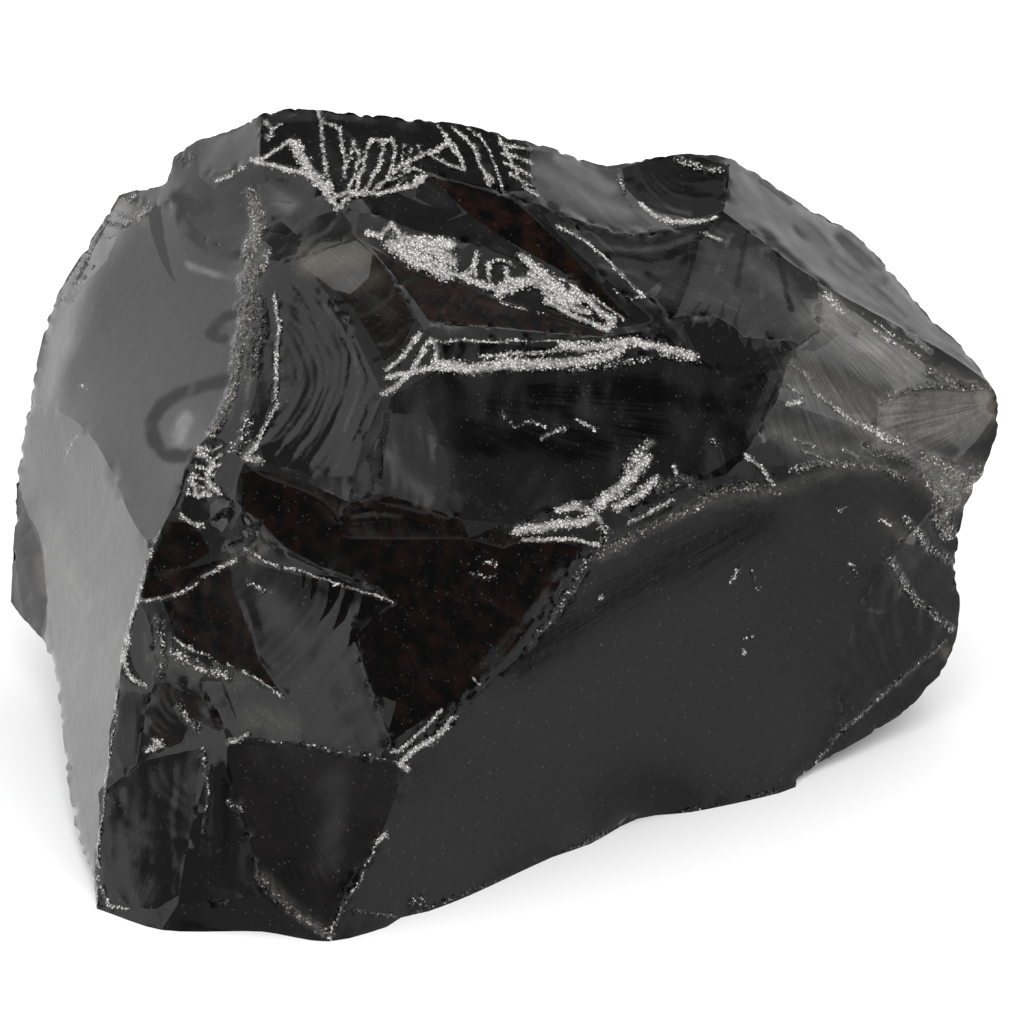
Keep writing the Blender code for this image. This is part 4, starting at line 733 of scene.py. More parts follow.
    ([(46.9, 0.4), (48.1, -0.2)], 0.42, 0.55, 0.1),
    ([(30.6, -5.9), (31.4, -8.4)], 0.2, 0.45, 0.1),
    ([(43.1, -4.9), (43.9, -6.6)], 0.26, 0.45, 0.1),
    ([(-54.9, 7.9), (-53.4, 10.9)], 0.14, 0.6, 0.1),
    ([(-53.1, 17.1), (-52.4, 17.0)], 0.25, 0.6, 0.1),
]


def facing(points):
    """Places on the plane that faces the worked side, in millimetres: to the right, up, and out of it."""
    x, y, z = np.asarray(points, dtype=float).T / MM
    up = y * math.sin(LEAN) + z * math.cos(LEAN)
    out = z * math.sin(LEAN) - y * math.cos(LEAN)
    return np.stack([x, up, out], axis=1)


def stroke_cover(places, points, reach):
    """How far each place is inside a stroke along the points: 1 in its middle, 0 at its reach and beyond."""
    cover = np.zeros(len(places))
    low, high = np.min(points, axis=0) - reach, np.max(points, axis=0) + reach
    near = np.nonzero(((places > low) & (places < high)).all(axis=1))[0]
    nearest = np.full(len(near), np.inf)
    for start, end in zip(points[:-1] or points, points[1:] or points):
        start, run = np.array(start), np.subtract(end, start)
        from_start = places[near] - start
        along = np.clip(from_start @ run / max(run @ run, 1e-9), 0, 1)
        nearest = np.minimum(nearest, np.linalg.norm(from_start - along[:, None] * run, axis=1))
    inside = np.clip(1 - nearest / reach, 0, 1)
    cover[near] = inside * inside * (3 - 2 * inside)
    return cover


def painted(places, strokes):
    """The strongest stroke over each place."""
    cover = np.zeros(len(places))
    for points, reach, strength in strokes:
        cover = np.maximum(cover, strength * stroke_cover(places, points, reach))
    return cover


def facet_at(places):
    """The number of the small facet over each place, the last one where several are, or -1."""
    facet = np.full(len(places), -1)
    for number, (*_, outline) in enumerate(FACETS.values()):
        low, high = np.min(outline, axis=0), np.max(outline, axis=0)
        near = np.nonzero(((places > low) & (places < high)).all(axis=1))[0]
        across, up = places[near].T
        inside = np.zeros(len(near), dtype=bool)
        for (x0, y0), (x1, y1) in zip(outline, outline[1:] + outline[:1]):
            if y0 != y1:
                inside ^= ((y0 > up) != (y1 > up)) & (across < (x1 - x0) * (up - y0) / (y1 - y0) + x0)
        facet[near[inside]] = number
    return facet


def spread_scars(mesh, middles, on_front):
    """Gives each face the scar whose spot reaches it over the gentlest creases, then by the shortest way."""
    queue = []
    for number, (name, (spot, *_)) in enumerate({**FRONT_SCARS, **REAR_SCARS}.items()):
        gaps = np.linalg.norm(middles[:, :2] - spot, axis=1)
        gaps[on_front != (name in FRONT_SCARS)] = np.inf
        heapq.heappush(queue, (0, 0.0, int(gaps.argmin()), number))
    scar_of = np.full(len(middles), -1)
    while queue:
        crease, way, face, number = heapq.heappop(queue)
        if scar_of[face] >= 0:
            continue
        scar_of[face] = number
        for edge in mesh.faces[face].edges:
            for other in edge.link_faces:
                if scar_of[other.index] < 0:
                    bend = int(math.degrees(edge.calc_face_angle(0.0)) / CREASE_STEP)
                    far = way + float(np.linalg.norm(middles[face] - middles[other.index]))
                    heapq.heappush(queue, (max(crease, bend), far, other.index, number))
    return scar_of


def edge_numbers(corners):
    """Every edge's two ends once, and the edge that leaves each corner of each triangle."""
    sides = np.sort(np.stack([corners, np.roll(corners, -1, axis=1)], axis=2).reshape(-1, 2), axis=1)
    ends, number = np.unique(sides, axis=0, return_inverse=True)
    return ends, number.reshape(-1, 3)


def divided(points, corners, scar_of, ridges, long, share=0.5):
    """Splits the long edges, each at its share of the way, and their triangles with them.

    Ridges are rows of two ends and a kind."""
    ends, number = edge_numbers(corners)
    middle_of = np.full(len(ends), -1)
    middle_of[long] = len(points) + np.arange(long.sum())
    start, end = points[ends[long, 0]], points[ends[long, 1]]
    points = np.concatenate([points, start + (end - start) * np.reshape(share, (-1, 1))])
    middles = middle_of[number]
    split = (middles >= 0).sum(axis=1)
    first = np.where(split == 1, (middles >= 0).argmax(axis=1), 0)
    first = np.where(split == 2, ((middles < 0).argmax(axis=1) + 1) % 3, first)
    turn = (first[:, None] + np.arange(3)) % 3
    (a, b, c), (ab, bc, ca) = (np.take_along_axis(rows, turn, axis=1).T for rows in (corners, middles))
    short = np.linalg.norm(points[a] - points[bc], axis=1) < np.linalg.norm(points[ab] - points[c], axis=1)
    two, three, four, five = (split == 0), (split == 1), (split == 2), (split == 3)
    parts = [
        (two, a, b, c),
        (three, a, ab, c), (three, ab, b, c),
        (four, ab, b, bc), (four & short, a, ab, bc), (four & short, a, bc, c),
        (four & ~short, a, ab, c), (four & ~short, ab, bc, c),
        (five, a, ab, ca), (five, ab, b, bc), (five, ca, bc, c), (five, ab, bc, ca),
    ]
    corners = np.concatenate([np.stack([x[of], y[of], z[of]], axis=1) for of, x, y, z in parts])
    scar_of = np.concatenate([scar_of[of] for of, *_ in parts])
    keys = ends[:, 0] * len(points) + ends[:, 1]
    middle = middle_of[np.searchsorted(keys, ridges[:, 0] * len(points) + ridges[:, 1])]
    cut, near, far, kind = middle >= 0, ridges[:, 0], ridges[:, 1], ridges[:, 2]
    ridges = np.concatenate([
        ridges[~cut],
        np.stack([near, middle, kind], axis=1)[cut],
        np.stack([far, middle, kind], axis=1)[cut],
    ])
    return points, corners, scar_of, ridges


solid = bmesh.new()
solid.from_mesh(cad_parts["obsidian_chunk"].data)
bmesh.ops.remove_doubles(solid, verts=solid.verts, dist=0.001 * MM)
on_plane = facing([v.co for v in solid.verts])
plane_middle = (on_plane.min(axis=0) + on_plane.max(axis=0)) / 2
plane_shift = np.array([*PLANE_MIDDLE, plane_middle[2]]) - plane_middle
solid.verts.index_update()
solid.faces.ensure_lookup_table()
solid.faces.index_update()
face_middles = facing([f.calc_center_median() for f in solid.faces]) + plane_shift
looks_out = facing([f.normal for f in solid.faces])[:, 2] > 0
scar_of = spread_scars(solid, face_middles, looks_out)
points = np.array([v.co for v in solid.verts]) / MM
corners = np.array([[v.index for v in f.verts] for f in solid.faces])
ridges = np.array([
    (*sorted(v.index for v in edge.verts), edge.is_convex)
    for edge in solid.edges
    if scar_of[edge.link_faces[0].index] != scar_of[edge.link_faces[1].index]
    and edge.calc_face_angle(0.0) >= math.radians(RIDGE_ANGLE)
])
solid.free()

scar_names = [*FRONT_SCARS, *REAR_SCARS]
calm_scars = [scar_names.index(name) for name in CALM_SCARS]
fine_strokes = [(line, reach + GRIT_MARGIN, 1) for line, reach, *_ in GLINT_AND_GRIT_STROKES]
fine_strokes += [(outline + outline[:1], OUTLINE_REACH, 1) for _, outline in FACETS.values()]
fine_strokes += [(line, reach, 1) for _, reach, line in BENDS if reach < SHARP_BEND]
for _ in range(HALVINGS):
    ends, number = edge_numbers(corners)
    middles = facing(points[ends].mean(axis=1) * MM) + plane_shift
    rear, calm = (np.ones(len(ends), dtype=bool) for _ in range(2))
    rear[number[scar_of < len(FRONT_SCARS)]] = False
    calm[number[~np.isin(scar_of, calm_scars)]] = False
    wanted = np.where(rear, REAR_EDGE, np.where(calm, CALM_EDGE, FACE_EDGE))
    wanted[~rear & (painted(middles[:, :2], fine_strokes) > 0)] = GRIT_EDGE
    long = np.linalg.norm(points[ends[:, 0]] - points[ends[:, 1]], axis=1) > wanted
    points, corners, scar_of, ridges = divided(points, corners, scar_of, ridges, long)


def ridge_marks(corners, ridges, count):
    """Every edge's two ends, which edges are ridges, which of them are convex, and a key for each edge."""
    ends, _ = edge_numbers(corners)
    keys = ends[:, 0] * count + ends[:, 1]
    ridge_edges = np.searchsorted(keys, ridges[:, 0] * count + ridges[:, 1])
    sharp, convex = (np.zeros(len(ends), dtype=bool) for _ in range(2))
    sharp[ridge_edges] = True
    convex[ridge_edges] = ridges[:, 2] == 1
    return ends, sharp, convex, keys


def smoothed(points, corners, ridges, held, times):
    """Draws each point towards its neighbours.

    Ridge points move along their ridge, and where ridges meet they stay."""
    ends, sharp, _, _ = ridge_marks(corners, ridges, len(points))
    on_ridge = np.zeros(len(points), dtype=bool)
    on_ridge[ends[sharp]] = True
    held = held | (on_ridge & (np.bincount(ends[sharp].ravel(), minlength=len(points)) != 2))
    near, far = np.concatenate([ends, ends[:, ::-1]]).T
    counts = np.concatenate([sharp, sharp]) | ~on_ridge[near]
    near, far = near[counts], far[counts]
    neighbours = np.maximum(np.bincount(near, minlength=len(points)), 1)
    for _ in range(times):
        total = [np.bincount(near, points[far, k], len(points)) for k in range(3)]
        moves = np.stack(total, axis=1) / neighbours[:, None] - points
        moves[held] = 0
        points = points + 0.5 * moves
    return points


def points_of(chosen):
    """Which points the chosen triangles touch."""
    touched = np.zeros(len(points), dtype=bool)
    touched[corners[chosen]] = True
    return touched


points = smoothed(points, corners, ridges, points_of(scar_of == scar_names.index("base")), SMOOTHINGS)

# The small facets' outlines are cut into the mesh: each edge that crosses one is split where it does
fine = facing(points * MM) + plane_shift
elsewhere = Vector((9, 9, 9))  # a second noise, unlike the first
jolt = np.array([[noise.noise(p), noise.noise(p + elsewhere)] for p in map(Vector, points / TORN_LUMP)])
ends, number = edge_numbers(corners)
rear = np.ones(len(ends), dtype=bool)
rear[number[scar_of < len(FRONT_SCARS)]] = False
torn_places = fine[:, :2] + TORN * jolt
facets = facet_at(torn_places)
crossing = (facets[ends[:, 0]] != facets[ends[:, 1]]) & ~rear
start, end = torn_places[ends[crossing]].transpose(1, 0, 2)
share = np.full(crossing.sum(), 0.5)
for halving in range(2, 7):
    same = facet_at(start + (end - start) * share[:, None]) == facets[ends[crossing, 0]]
    share += np.where(same, 1, -1) * 0.5**halving
share = np.clip(share, 0.12, 0.88)
points, corners, scar_of, ridges = divided(points, corners, scar_of, ridges, crossing, share)
jolt = np.concatenate([jolt, (jolt[ends[crossing, 0]].T * (1 - share) + jolt[ends[crossing, 1]].T * share).T])
fine = facing(points * MM) + plane_shift
facet_of = facet_at((fine[:, :2] + TORN * jolt)[corners].mean(axis=1))
facet_of[scar_of >= len(FRONT_SCARS)] = -1

ends, sharp, convex, keys = ridge_marks(corners, ridges, len(points))
is_base = points_of(scar_of == scar_names.index("base"))


def normals_of(points):
    """The outward direction at each point."""
    a, b, c = (points[corners[:, k]] for k in range(3))
    across = np.cross(b - a, c - a)
    total = np.zeros_like(points)
    for k in range(3):
        np.add.at(total, corners[:, k], across)
    return total / np.maximum(np.linalg.norm(total, axis=1), 1e-9)[:, None]


def rough(points, size, octaves):
    """Smooth noise between about -1 and 1, whose lumps are about this many millimetres across."""
    return np.array([noise.fractal(Vector(p) / size, 1.0, 2.0, octaves) for p in points])


normals = normals_of(points)
places = facing(points * MM) + plane_shift
vertex_scar = np.zeros(len(points), dtype=int)
vertex_scar[corners] = scar_of[:, None]
front = vertex_scar < len(FRONT_SCARS)

# Black glass shows the room as a mirror does, so how light a facet looks depends on which way it faces. The
# room has white walls and a grey ceiling, with soft patches: the turn to the right of the front, the rise
# above the level, how far the patch and its middle reach, all in degrees, and its brightness
WALLS, CEILING = 1.45, 0.28
WALL_PATCHES = [
    (90, 0, 69.5, 25.8, 0.8), (-5, -5, 63.3, 25.8, 0.4), (45, -30, 60, 18.2, 0.5), (60, -8, 24, 4, 0.85),
    (180, 0, 38, 16, 0.45), (148, 20, 40, 12, 1.9),
]
CEILING_PATCHES = [(180, 85, 35, 8, 0.66), (95, 62, 26, 8, 0.85), (12, 34, 26, 8, 0.06)]
CEILING_SPREAD = (10, 58, 52, 38)
BLACK_CARD = (37, 24, 22, 9, 0.05)
GLASS_BENDS_LIGHT = 1.49
FACET_TURN, BEND_TURN = 24, 22  # the furthest that a small facet or a bend may turn from its scar, in degrees
MISSED_SHADE = 6  # how much it weighs to miss a facet's shade by a half
FACET_EASE, BEND_EASE = 9, 6  # how many degrees of turn weigh 1
DUST_LIGHT = 0.0045  # what the faintest dust gives back, whichever way the glass faces


def direction(turn, rise):
    """The direction at this turn to the right of the front and this rise above the level, in degrees."""
    turn, rise = np.radians(turn), np.radians(rise)
    return np.stack([np.sin(turn) * np.cos(rise), -np.cos(turn) * np.cos(rise), np.sin(rise)], axis=-1)


def within(towards, turn, rise, outer, inner):
    """1 in the middle of a patch of the room, 0 outside it."""
    low, high = math.cos(math.radians(outer)), math.cos(math.radians(inner))
    share = np.clip((towards @ direction(turn, rise) - low) / (high - low), 0, 1)
    return share * share * (3 - 2 * share)


def room_light(towards):
    """How bright the room is in each direction."""
    walls, ceiling = np.full(len(towards), WALLS), np.full(len(towards), CEILING)
    for light, patches in ((walls, WALL_PATCHES), (ceiling, CEILING_PATCHES)):
        for *place, brightness in patches:
            light += within(towards, *place) * (brightness - light)
    light = walls + within(towards, *CEILING_SPREAD) * (ceiling - walls)
    return light + within(towards, *BLACK_CARD[:-1]) * (BLACK_CARD[-1] - light)


def thrown_forward(faces):
    """How much of the room's light a piece of glass that faces this way throws towards the front."""
    front_of = np.array((0, -math.cos(LEAN), math.sin(LEAN)))
    slant = np.clip(faces @ front_of, 0.02, 1)
    bent = np.sqrt(GLASS_BENDS_LIGHT**2 - 1 + slant**2)
    across = (slant * (bent + slant) - 1) / (slant * (bent - slant) + 1)
    mirrored = 0.5 * ((bent - slant) / (bent + slant)) ** 2 * (1 + across**2)
    return mirrored * room_light(2 * slant[:, None] * faces - front_of) + DUST_LIGHT


DARKEST = 0.003  # below about this, one shade looks like another
TOO_FAR = 50  # more than any shade that is missed weighs
turns, rises = np.meshgrid(np.arange(-84, 85), np.arange(-45, 75))
all_ways = direction(turns.ravel(), rises.ravel())
all_thrown = thrown_forward(all_ways)


def facing_for(shade, own, furthest, ease):
    """The way to face, near its own way, at which the glass has this shade."""
    own = own / np.linalg.norm(own)
    turned = np.degrees(np.arccos(np.clip(all_ways @ own, -1, 1)))
    error = np.abs(np.log2((all_thrown + DARKEST) / (shade + DARKEST)))
    return all_ways[(MISSED_SHADE * error + turned / ease + np.where(turned > furthest, TOO_FAR, 0)).argmin()]


# The lean of the small facets, corner by corner, and their brown and beige stains
lean = np.zeros((*corners.shape, 3))
stains = np.zeros((len(corners), 3, 3))
for number, (name, (shade, _)) in enumerate(FACETS.items()):
    mine = facet_of == number
    even = EVEN_CURVE if name in EVEN_FACETS else LOOSE_CURVE
    own = normals[corners[mine]]
    mean = own.mean(axis=(0, 1))
    faces = facing_for(SHADES[shade], mean, FACET_TURN, FACET_EASE)
    lean[mine] = faces - even * own - (1 - even) * mean / np.linalg.norm(mean)
    stains[mine] = (BROWN_FACETS.get(name, 0), BEIGE_FACETS.get(name, 0), 0)

# The sway of the soft bends, point by point
at_corners = normals[corners] + lean
at_point = corners.ravel()
bent = np.stack([np.bincount(at_point, at_corners[..., k].ravel(), len(points)) for k in range(3)], axis=1)
bent /= np.bincount(at_point, minlength=len(points))[:, None]
unbent = bent.copy()
# Noise at three sizes. No stroke runs quite true, and thin bends come and go along their way
wander = rough(points, 11.0, 2)
flutter = rough(points, 3.2, 2)
other_flutter = rough(points + 30.0, 3.2, 2)
wavering = places[:, :2] + 0.25 * np.stack([flutter, other_flutter], axis=1)
fading = np.clip(0.8 + 1.4 * rough(points + 90.0, 4.5, 2), 0.1, 1.0)
for kind, reach, line in BENDS:
    cover = stroke_cover(wavering, line, reach) * front
    own = unbent[cover > 0.3].mean(axis=0)
    own /= np.linalg.norm(own)
    faces = facing_for(thrown_forward(own[None])[0] * BEND_SHADES[kind], own, BEND_TURN, BEND_EASE)
    if reach < 2:
        cover = np.minimum(1.5 * cover, 1.0) * fading
    bent += cover[:, None] * (faces - bent)
sway = bent - unbent

# Ripples: rings around the blow that struck the flake off, uneven in their spacing and height
phase, swell, radial, around = np.zeros((4, len(points)))
for number, (_, heart, spacing, height) in enumerate([*FRONT_SCARS.values(), *REAR_SCARS.values()]):
    mine = vertex_scar == number
    across, up = (places[mine, :2] - heart).T
    radial[mine] = np.hypot(across, up)
    around[mine] = np.arctan2(up, across) * np.mean(radial[mine]) + 37.0 * number
    phase[mine] = (radial[mine] + 1.6 * wander[mine] + 0.25 * flutter[mine]) / spacing
    swell[mine] = height
ring = np.sin(2 * math.pi * phase) + 0.45 * np.sin(4 * math.pi * phase + 1.3)
ripple = np.where(front, FRONT_RIPPLE, REAR_RIPPLE) * swell * ring * np.clip(0.6 + 1.1 * wander, 0.05, 1.6)

# Nicks along the ridges, and crumbs broken out where the glass is crushed
# Where white is painted: crushed glass, and painted glints of light on ridges and ripples
grit = painted(wavering, [(line, 1.1 * reach, white_and_glints) for line, reach, white_and_glints, _ in GLINT_AND_GRIT_STROKES]) * front
broken = painted(places[:, :2], [(line, reach, crumbled) for line, reach, _, crumbled in GLINT_AND_GRIT_STROKES]) * front


def gap_to(chosen):
    """How far each point is from the nearest of the chosen ones, in millimetres."""
    tree = kdtree.KDTree(len(chosen))
    for index in chosen:
        tree.insert(points[index], index)
    tree.balance()
    return np.array([tree.find(p)[2] for p in points])


to_edge = gap_to(np.unique(ends[convex]))
rim = np.unique(corners[vertex_scar[corners] != scar_of[:, None]])
inside_scar = np.clip((gap_to(rim) - 0.7) / 1.3, 0, 1)
nicks = np.clip(rough(points, 1.6, 2) + 0.55 * rough(points, 7.0, 1) - 0.12, 0, 1)
nicked = NICK_DEPTH * nicks * np.clip(1 - to_edge / NICK_REACH, 0, 1) ** 1.5
crumble = np.zeros(len(points))
for index in np.nonzero(broken > 0.02)[0]:
    point = Vector(points[index])
    gaps, _ = noise.voronoi(point / 1.05)
    cracks = min(gaps[1] - gaps[0], 0.35)
    lump = noise.cell(point / 0.9) * 0.35 + noise.noise(point / 0.7) * 0.22
    crumble[index] = broken[index] * (lump + 0.35 - 0.9 * cracks)

# Small flake scars over the rear: hollows that meet in low ridges
scoops = np.zeros(len(points))
for index in np.nonzero(~front)[0]:
    for across, depth in REAR_HOLLOWS:
        gaps, _ = noise.voronoi(Vector(points[index]) / across + Vector((3.1, 7.7, 1.9)))
        scoops[index] += depth * (1 - min(1.4 * gaps[0] ** 2, 1.0))
scoops *= np.clip(to_edge / 4, 0, 1) * np.clip(points[:, 2] / 6, 0, 1)
is_calm = np.isin(vertex_scar, calm_scars)
rolling = ROLLING * rough(points + 60.0, 6.5, 2) * np.where(is_calm, CALM_SHARE, 1.0)
push = ripple + rolling - nicked - crumble * CRUMBLE_DEPTH - scoops
push[is_base] = 0
points = points + normals * push[:, None]
points[:, 2] = np.maximum(points[:, 2], 0)
points[is_base, 2] = 0

stone_mesh = bpy.data.meshes.new("stone")
stone_mesh.from_pydata(points * MM, [], corners)
stone_mesh.shade_smooth()
made_ends = np.empty(len(stone_mesh.edges) * 2, dtype=np.int64)
stone_mesh.edges.foreach_get("vertices", made_ends)
made_ends = np.sort(made_ends.reshape(-1, 2), axis=1)
made_sharp = sharp[np.searchsorted(keys, made_ends[:, 0] * len(points) + made_ends[:, 1])]
stone_mesh.edges.foreach_set("use_edge_sharp", made_sharp)
stone = bpy.data.objects.new("stone", stone_mesh)
bpy.context.scene.collection.objects.link(stone)
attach(stone, "root")
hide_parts("obsidian_chunk")

# Soft clouds of dust and painted sheen: a grey laid where the glass should look lighter than the room that
# it mirrors makes it, partly real dust; and clouds of the tawny grey that thin glass shows: the points
# along each, how far it reaches in millimetres, and how strong it is
DUST_AND_SHEEN_STROKES = [
    ([(40.0, 25.6), (45.0, 22.2), (50.0, 19.4)], 4.5, 0.26),
    ([(48.8, 13.9), (53.1, 12.9), (57.5, 13.9)], 5.0, 0.42),
    ([(43.1, 12.9), (47.5, 10.1), (50.6, 9.4)], 2.5, 0.30),
    ([(36.9, 18.5), (41.9, 16.0), (46.9, 15.4)], 4.5, 0.16),
    ([(33.8, 11.6), (39.4, 9.8), (45.6, 8.5)], 3.5, 0.10),
    ([(43.1, 22.2), (46.9, 21.4)], 2.0, 0.35),
    ([(54.4, 18.5), (58.8, 16.9)], 2.0, 0.20),
    ([(52.5, 6.6), (56.2, 3.5), (57.5, 6.0)], 4.0, 0.20),
    ([(-30.9, 40.4), (-30.9, 35.4), (-31.1, 29.1), (-32.4, 22.9), (-33.1, 17.9), (-34.9, 13.5)], 1.8, 0.10),
    ([(11.9, -4.1), (16.9, -1.1), (24.4, 2.5), (33.8, 4.1), (43.1, 7.1), (51.9, 6.1)], 1.3, 0.12),
    ([(-57.5, 0.4), (-55.6, -4.6), (-53.1, -9.6)], 3.0, 0.12),
    ([(-31.2, -24.0), (-26.9, -25.2)], 3.0, 0.07),
    ([(-34.4, -4.6), (-30.4, -2.1)], 1.5, 0.08),
    ([(-43.1, -16.5), (-38.1, -18.4), (-33.1, -19.4)], 2.0, 0.08),
    ([(-30.0, -43.6), (-25.6, -48.4), (-21.8, -50.9)], 1.3, 0.10),
]
TAWNY = [
    ([(-24.1, 32.6), (-21.2, 32.6), (-18.4, 33.1)], 3.2, 0.75),
    ([(-20.0, 30.4), (-18.1, 29.9), (-16.4, 30.4)], 2.6, 0.36),
    ([(-16.6, 27.9), (-14.1, 25.6)], 1.6, 0.16),
    ([(44.4, 22.2), (46.9, 21.6)], 1.6, 1.0),
    ([(59.6, 16.0), (60.9, 13.9)], 1.8, 1.2),
    ([(53.1, 7.6), (56.9, 4.1)], 2.6, 0.60),
    ([(55.0, -16.1), (55.9, -17.6)], 1.2, 0.80),
    ([(-31.2, 39.8), (-30.9, 36.9)], 1.0, 0.6),
    ([(-58.1, -4.6), (-57.6, -8.4)], 1.2, 0.5),
    ([(46.9, 1.0), (49.4, -2.1)], 1.5, 0.2),
    ([(-31.6, -4.6), (-29.6, -3.1)], 0.8, 0.5),
    ([(-48.1, 40.4), (-45.0, 37.6)], 1.2, 0.4),
]
# How strongly the glass is streaked away from the blow: not near it, nor along the scar's edges
drawn = np.where(is_calm, 0.25, 0.8) * np.where(front, 1.0, 0.3)
drawn *= inside_scar * np.clip(0.75 + 0.8 * wander, 0.2, 1.5) * np.clip((radial - 8) / 16, 0, 1)
# What the glass takes its finish from, point by point and corner by corner
paints = {
    "dust_and_sheen": painted(places[:, :2], DUST_AND_SHEEN_STROKES) * front + np.where(front, 0.0, 0.012),
    "tawny": painted(places[:, :2], TAWNY) * front,
    "broken": broken,
    "grit": grit,
    "phase": phase,
    "radial": radial,
    "around": around,
    "drawn": drawn,
    "swell": swell * inside_scar,
}
for name, values in paints.items():
    stone_mesh.attributes.new(name, "FLOAT", "POINT").data.foreach_set("value", values.astype(np.float32))
stored = stone_mesh.attributes.new("sway", "FLOAT_VECTOR", "POINT")
stored.data.foreach_set("vector", sway.astype(np.float32).ravel())
for name, values in {"lean": lean, "stain": stains}.items():
    stored = stone_mesh.attributes.new(name, "FLOAT_VECTOR", "CORNER")
    stored.data.foreach_set("vector", values.astype(np.float32).ravel())


def new_node(tree, kind, **settings):
    """A node of this kind. A setting is a property of it, or what one of its sockets holds or takes."""
    made = tree.nodes.new(kind)
    for name, value in settings.items():
        if hasattr(made, name) and not name[0].isupper() and not name[-1].isdigit():
            setattr(made, name, value)
            continue
        place = int(name[2:]) if name.startswith("in") and name[2:].isdigit() else name.replace("_", " ")
        if isinstance(value, bpy.types.NodeSocket):
            tree.links.new(value, made.inputs[place])
        else:
            made.inputs[place].default_value = value
    return made


class Shader:
    """Short names for the nodes that a material is put together from."""

    def __init__(self, tree):
        self.tree = tree

    def add(self, kind, **settings):
        return new_node(self.tree, kind, **settings)

    def math(self, operation, a, b=0.0):
        return self.add("ShaderNodeMath", operation=operation, in0=a, in1=b).outputs[0]

    def times(self, a, b):
        return self.math("MULTIPLY", a, b)

    def plus(self, a, b):
        return self.math("ADD", a, b)

    def step(self, value, low, high, to_low=0.0, to_high=1.0):
        """Rises smoothly from to_low, where the value is low, to to_high, where it is high."""
        ends = {"in1": low, "in2": high, "in3": to_low, "in4": to_high}
        return self.add("ShaderNodeMapRange", interpolation_type="SMOOTHSTEP", in0=value, **ends).outputs[0]

    def noise(self, where, size, detail, roughness=0.5):
        """Noise whose lumps are about this many millimetres across."""
        grain = {"Scale": 1.0 / (size * MM), "Detail": detail, "Roughness": roughness}
        return self.add("ShaderNodeTexNoise", Vector=where, **grain).outputs[0]

    def painted(self, name):
        """The mesh's own number of this name."""
        return self.add("ShaderNodeAttribute", attribute_name=name).outputs["Fac"]

    def mix(self, amount, a, b):
        """From colour a to colour b."""
        made = self.add("ShaderNodeMix", data_type="RGBA", in0=amount)
        for place, value in ((6, a), (7, b)):
            if isinstance(value, bpy.types.NodeSocket):
                self.tree.links.new(value, made.inputs[place])
            else:
                made.inputs[place].default_value = (*value, 1)
        return made.outputs[2]

    def blend(self, amount, a, b):
        """From number a to number b."""
        return self.add("ShaderNodeMix", data_type="FLOAT", in0=amount, in2=a, in3=b).outputs[0]


BLACK_GLASS = (0.0018, 0.0018, 0.0021)
BROWN_GLASS = (0.0150, 0.0064, 0.0040)
BEIGE_GLASS = (0.080, 0.071, 0.057)
# The grey of dust specks, and of painted sheen where glass is made lighter than its reflections make it
DUST_AND_SHEEN_COLOUR = (0.24, 0.232, 0.216)
# The white of crushed glass, also painted as glints and glitter where ridges and ripples catch the light
WHITE_GRANULES_AND_GLINTS, GREY_GRANULES = (0.72, 0.71, 0.69), (0.30, 0.28, 0.24)
GRANULE, CHIP = 0.23, 0.7  # how far across a crushed granule and a chip are, in millimetres
SPECK, SPECK_COVER = 0.22, 0.22  # how far across a speck of dust is, in millimetres, and how much it covers
FINE_LUMP, LUMP = 0.45, 2.2  # the sizes of the glass's unevenness, in millimetres
FINE_STREAK, BROAD_STREAK = (0.42, 7.0), (1.7, 14.0)  # how wide and how long the streaks are, in millimetres
RING_HEIGHT, LUMP_HEIGHT = 0.10 * MM, 0.03 * MM
FINE_STREAK_HEIGHT, BROAD_STREAK_HEIGHT = 0.05 * MM, 0.14 * MM
CHIP_HEIGHT, CHIP_GRAIN_HEIGHT = 0.45 * MM, 0.35 * MM
POLISHED, DUSTED, CRUSHED = 0.045, 0.25, 0.55  # roughness: clean glass, what dust adds to it, crushed glass


def streaks(shader, size, detail, roughness):
    """Noise drawn out into streaks that run away from the blow."""
    width, length = size
    across = shader.math("DIVIDE", shader.painted("around"), width)
    along = shader.math("DIVIDE", shader.painted("radial"), length)
    place = shader.add("ShaderNodeCombineXYZ", X=across, Y=along).outputs[0]
    made = shader.add("ShaderNodeTexNoise", Vector=place, Scale=1.0, Detail=detail, Roughness=roughness)
    return made.outputs[0]


def crushed_white_and_glints(shader, where, grit, fine, medium):
    """How white each place is: granules with dark gaps between them, over a fine white powder. The granules
    are crushed glass, and also painted glitter and glints where ridges and ripples catch the light.
    """
    grain = shader.add("ShaderNodeTexVoronoi", Vector=where, Scale=1 / (GRANULE * MM))
    chance, bright, _ = shader.add("ShaderNodeSeparateXYZ", Vector=grain.outputs["Color"]).outputs
    patchy = shader.times(shader.step(medium, 0.36, 0.60, 0.55, 1.4), grit)
    white_and_glints = shader.step(shader.math("SUBTRACT", shader.times(patchy, 1.1), chance), -0.05, 0.3)
    white_and_glints = shader.times(white_and_glints, shader.step(bright, 0.0, 0.8, 0.25, 1.0))
    white_and_glints = shader.times(white_and_glints, shader.step(grain.outputs["Distance"], 0.32, 0.70, 1.0, 0.25))
    powder_and_glints = shader.times(shader.step(grit, 0.3, 1.0), shader.step(fine, 0.3, 0.7, 0.10, 0.55))
    return shader.math("MAXIMUM", white_and_glints, powder_and_glints)


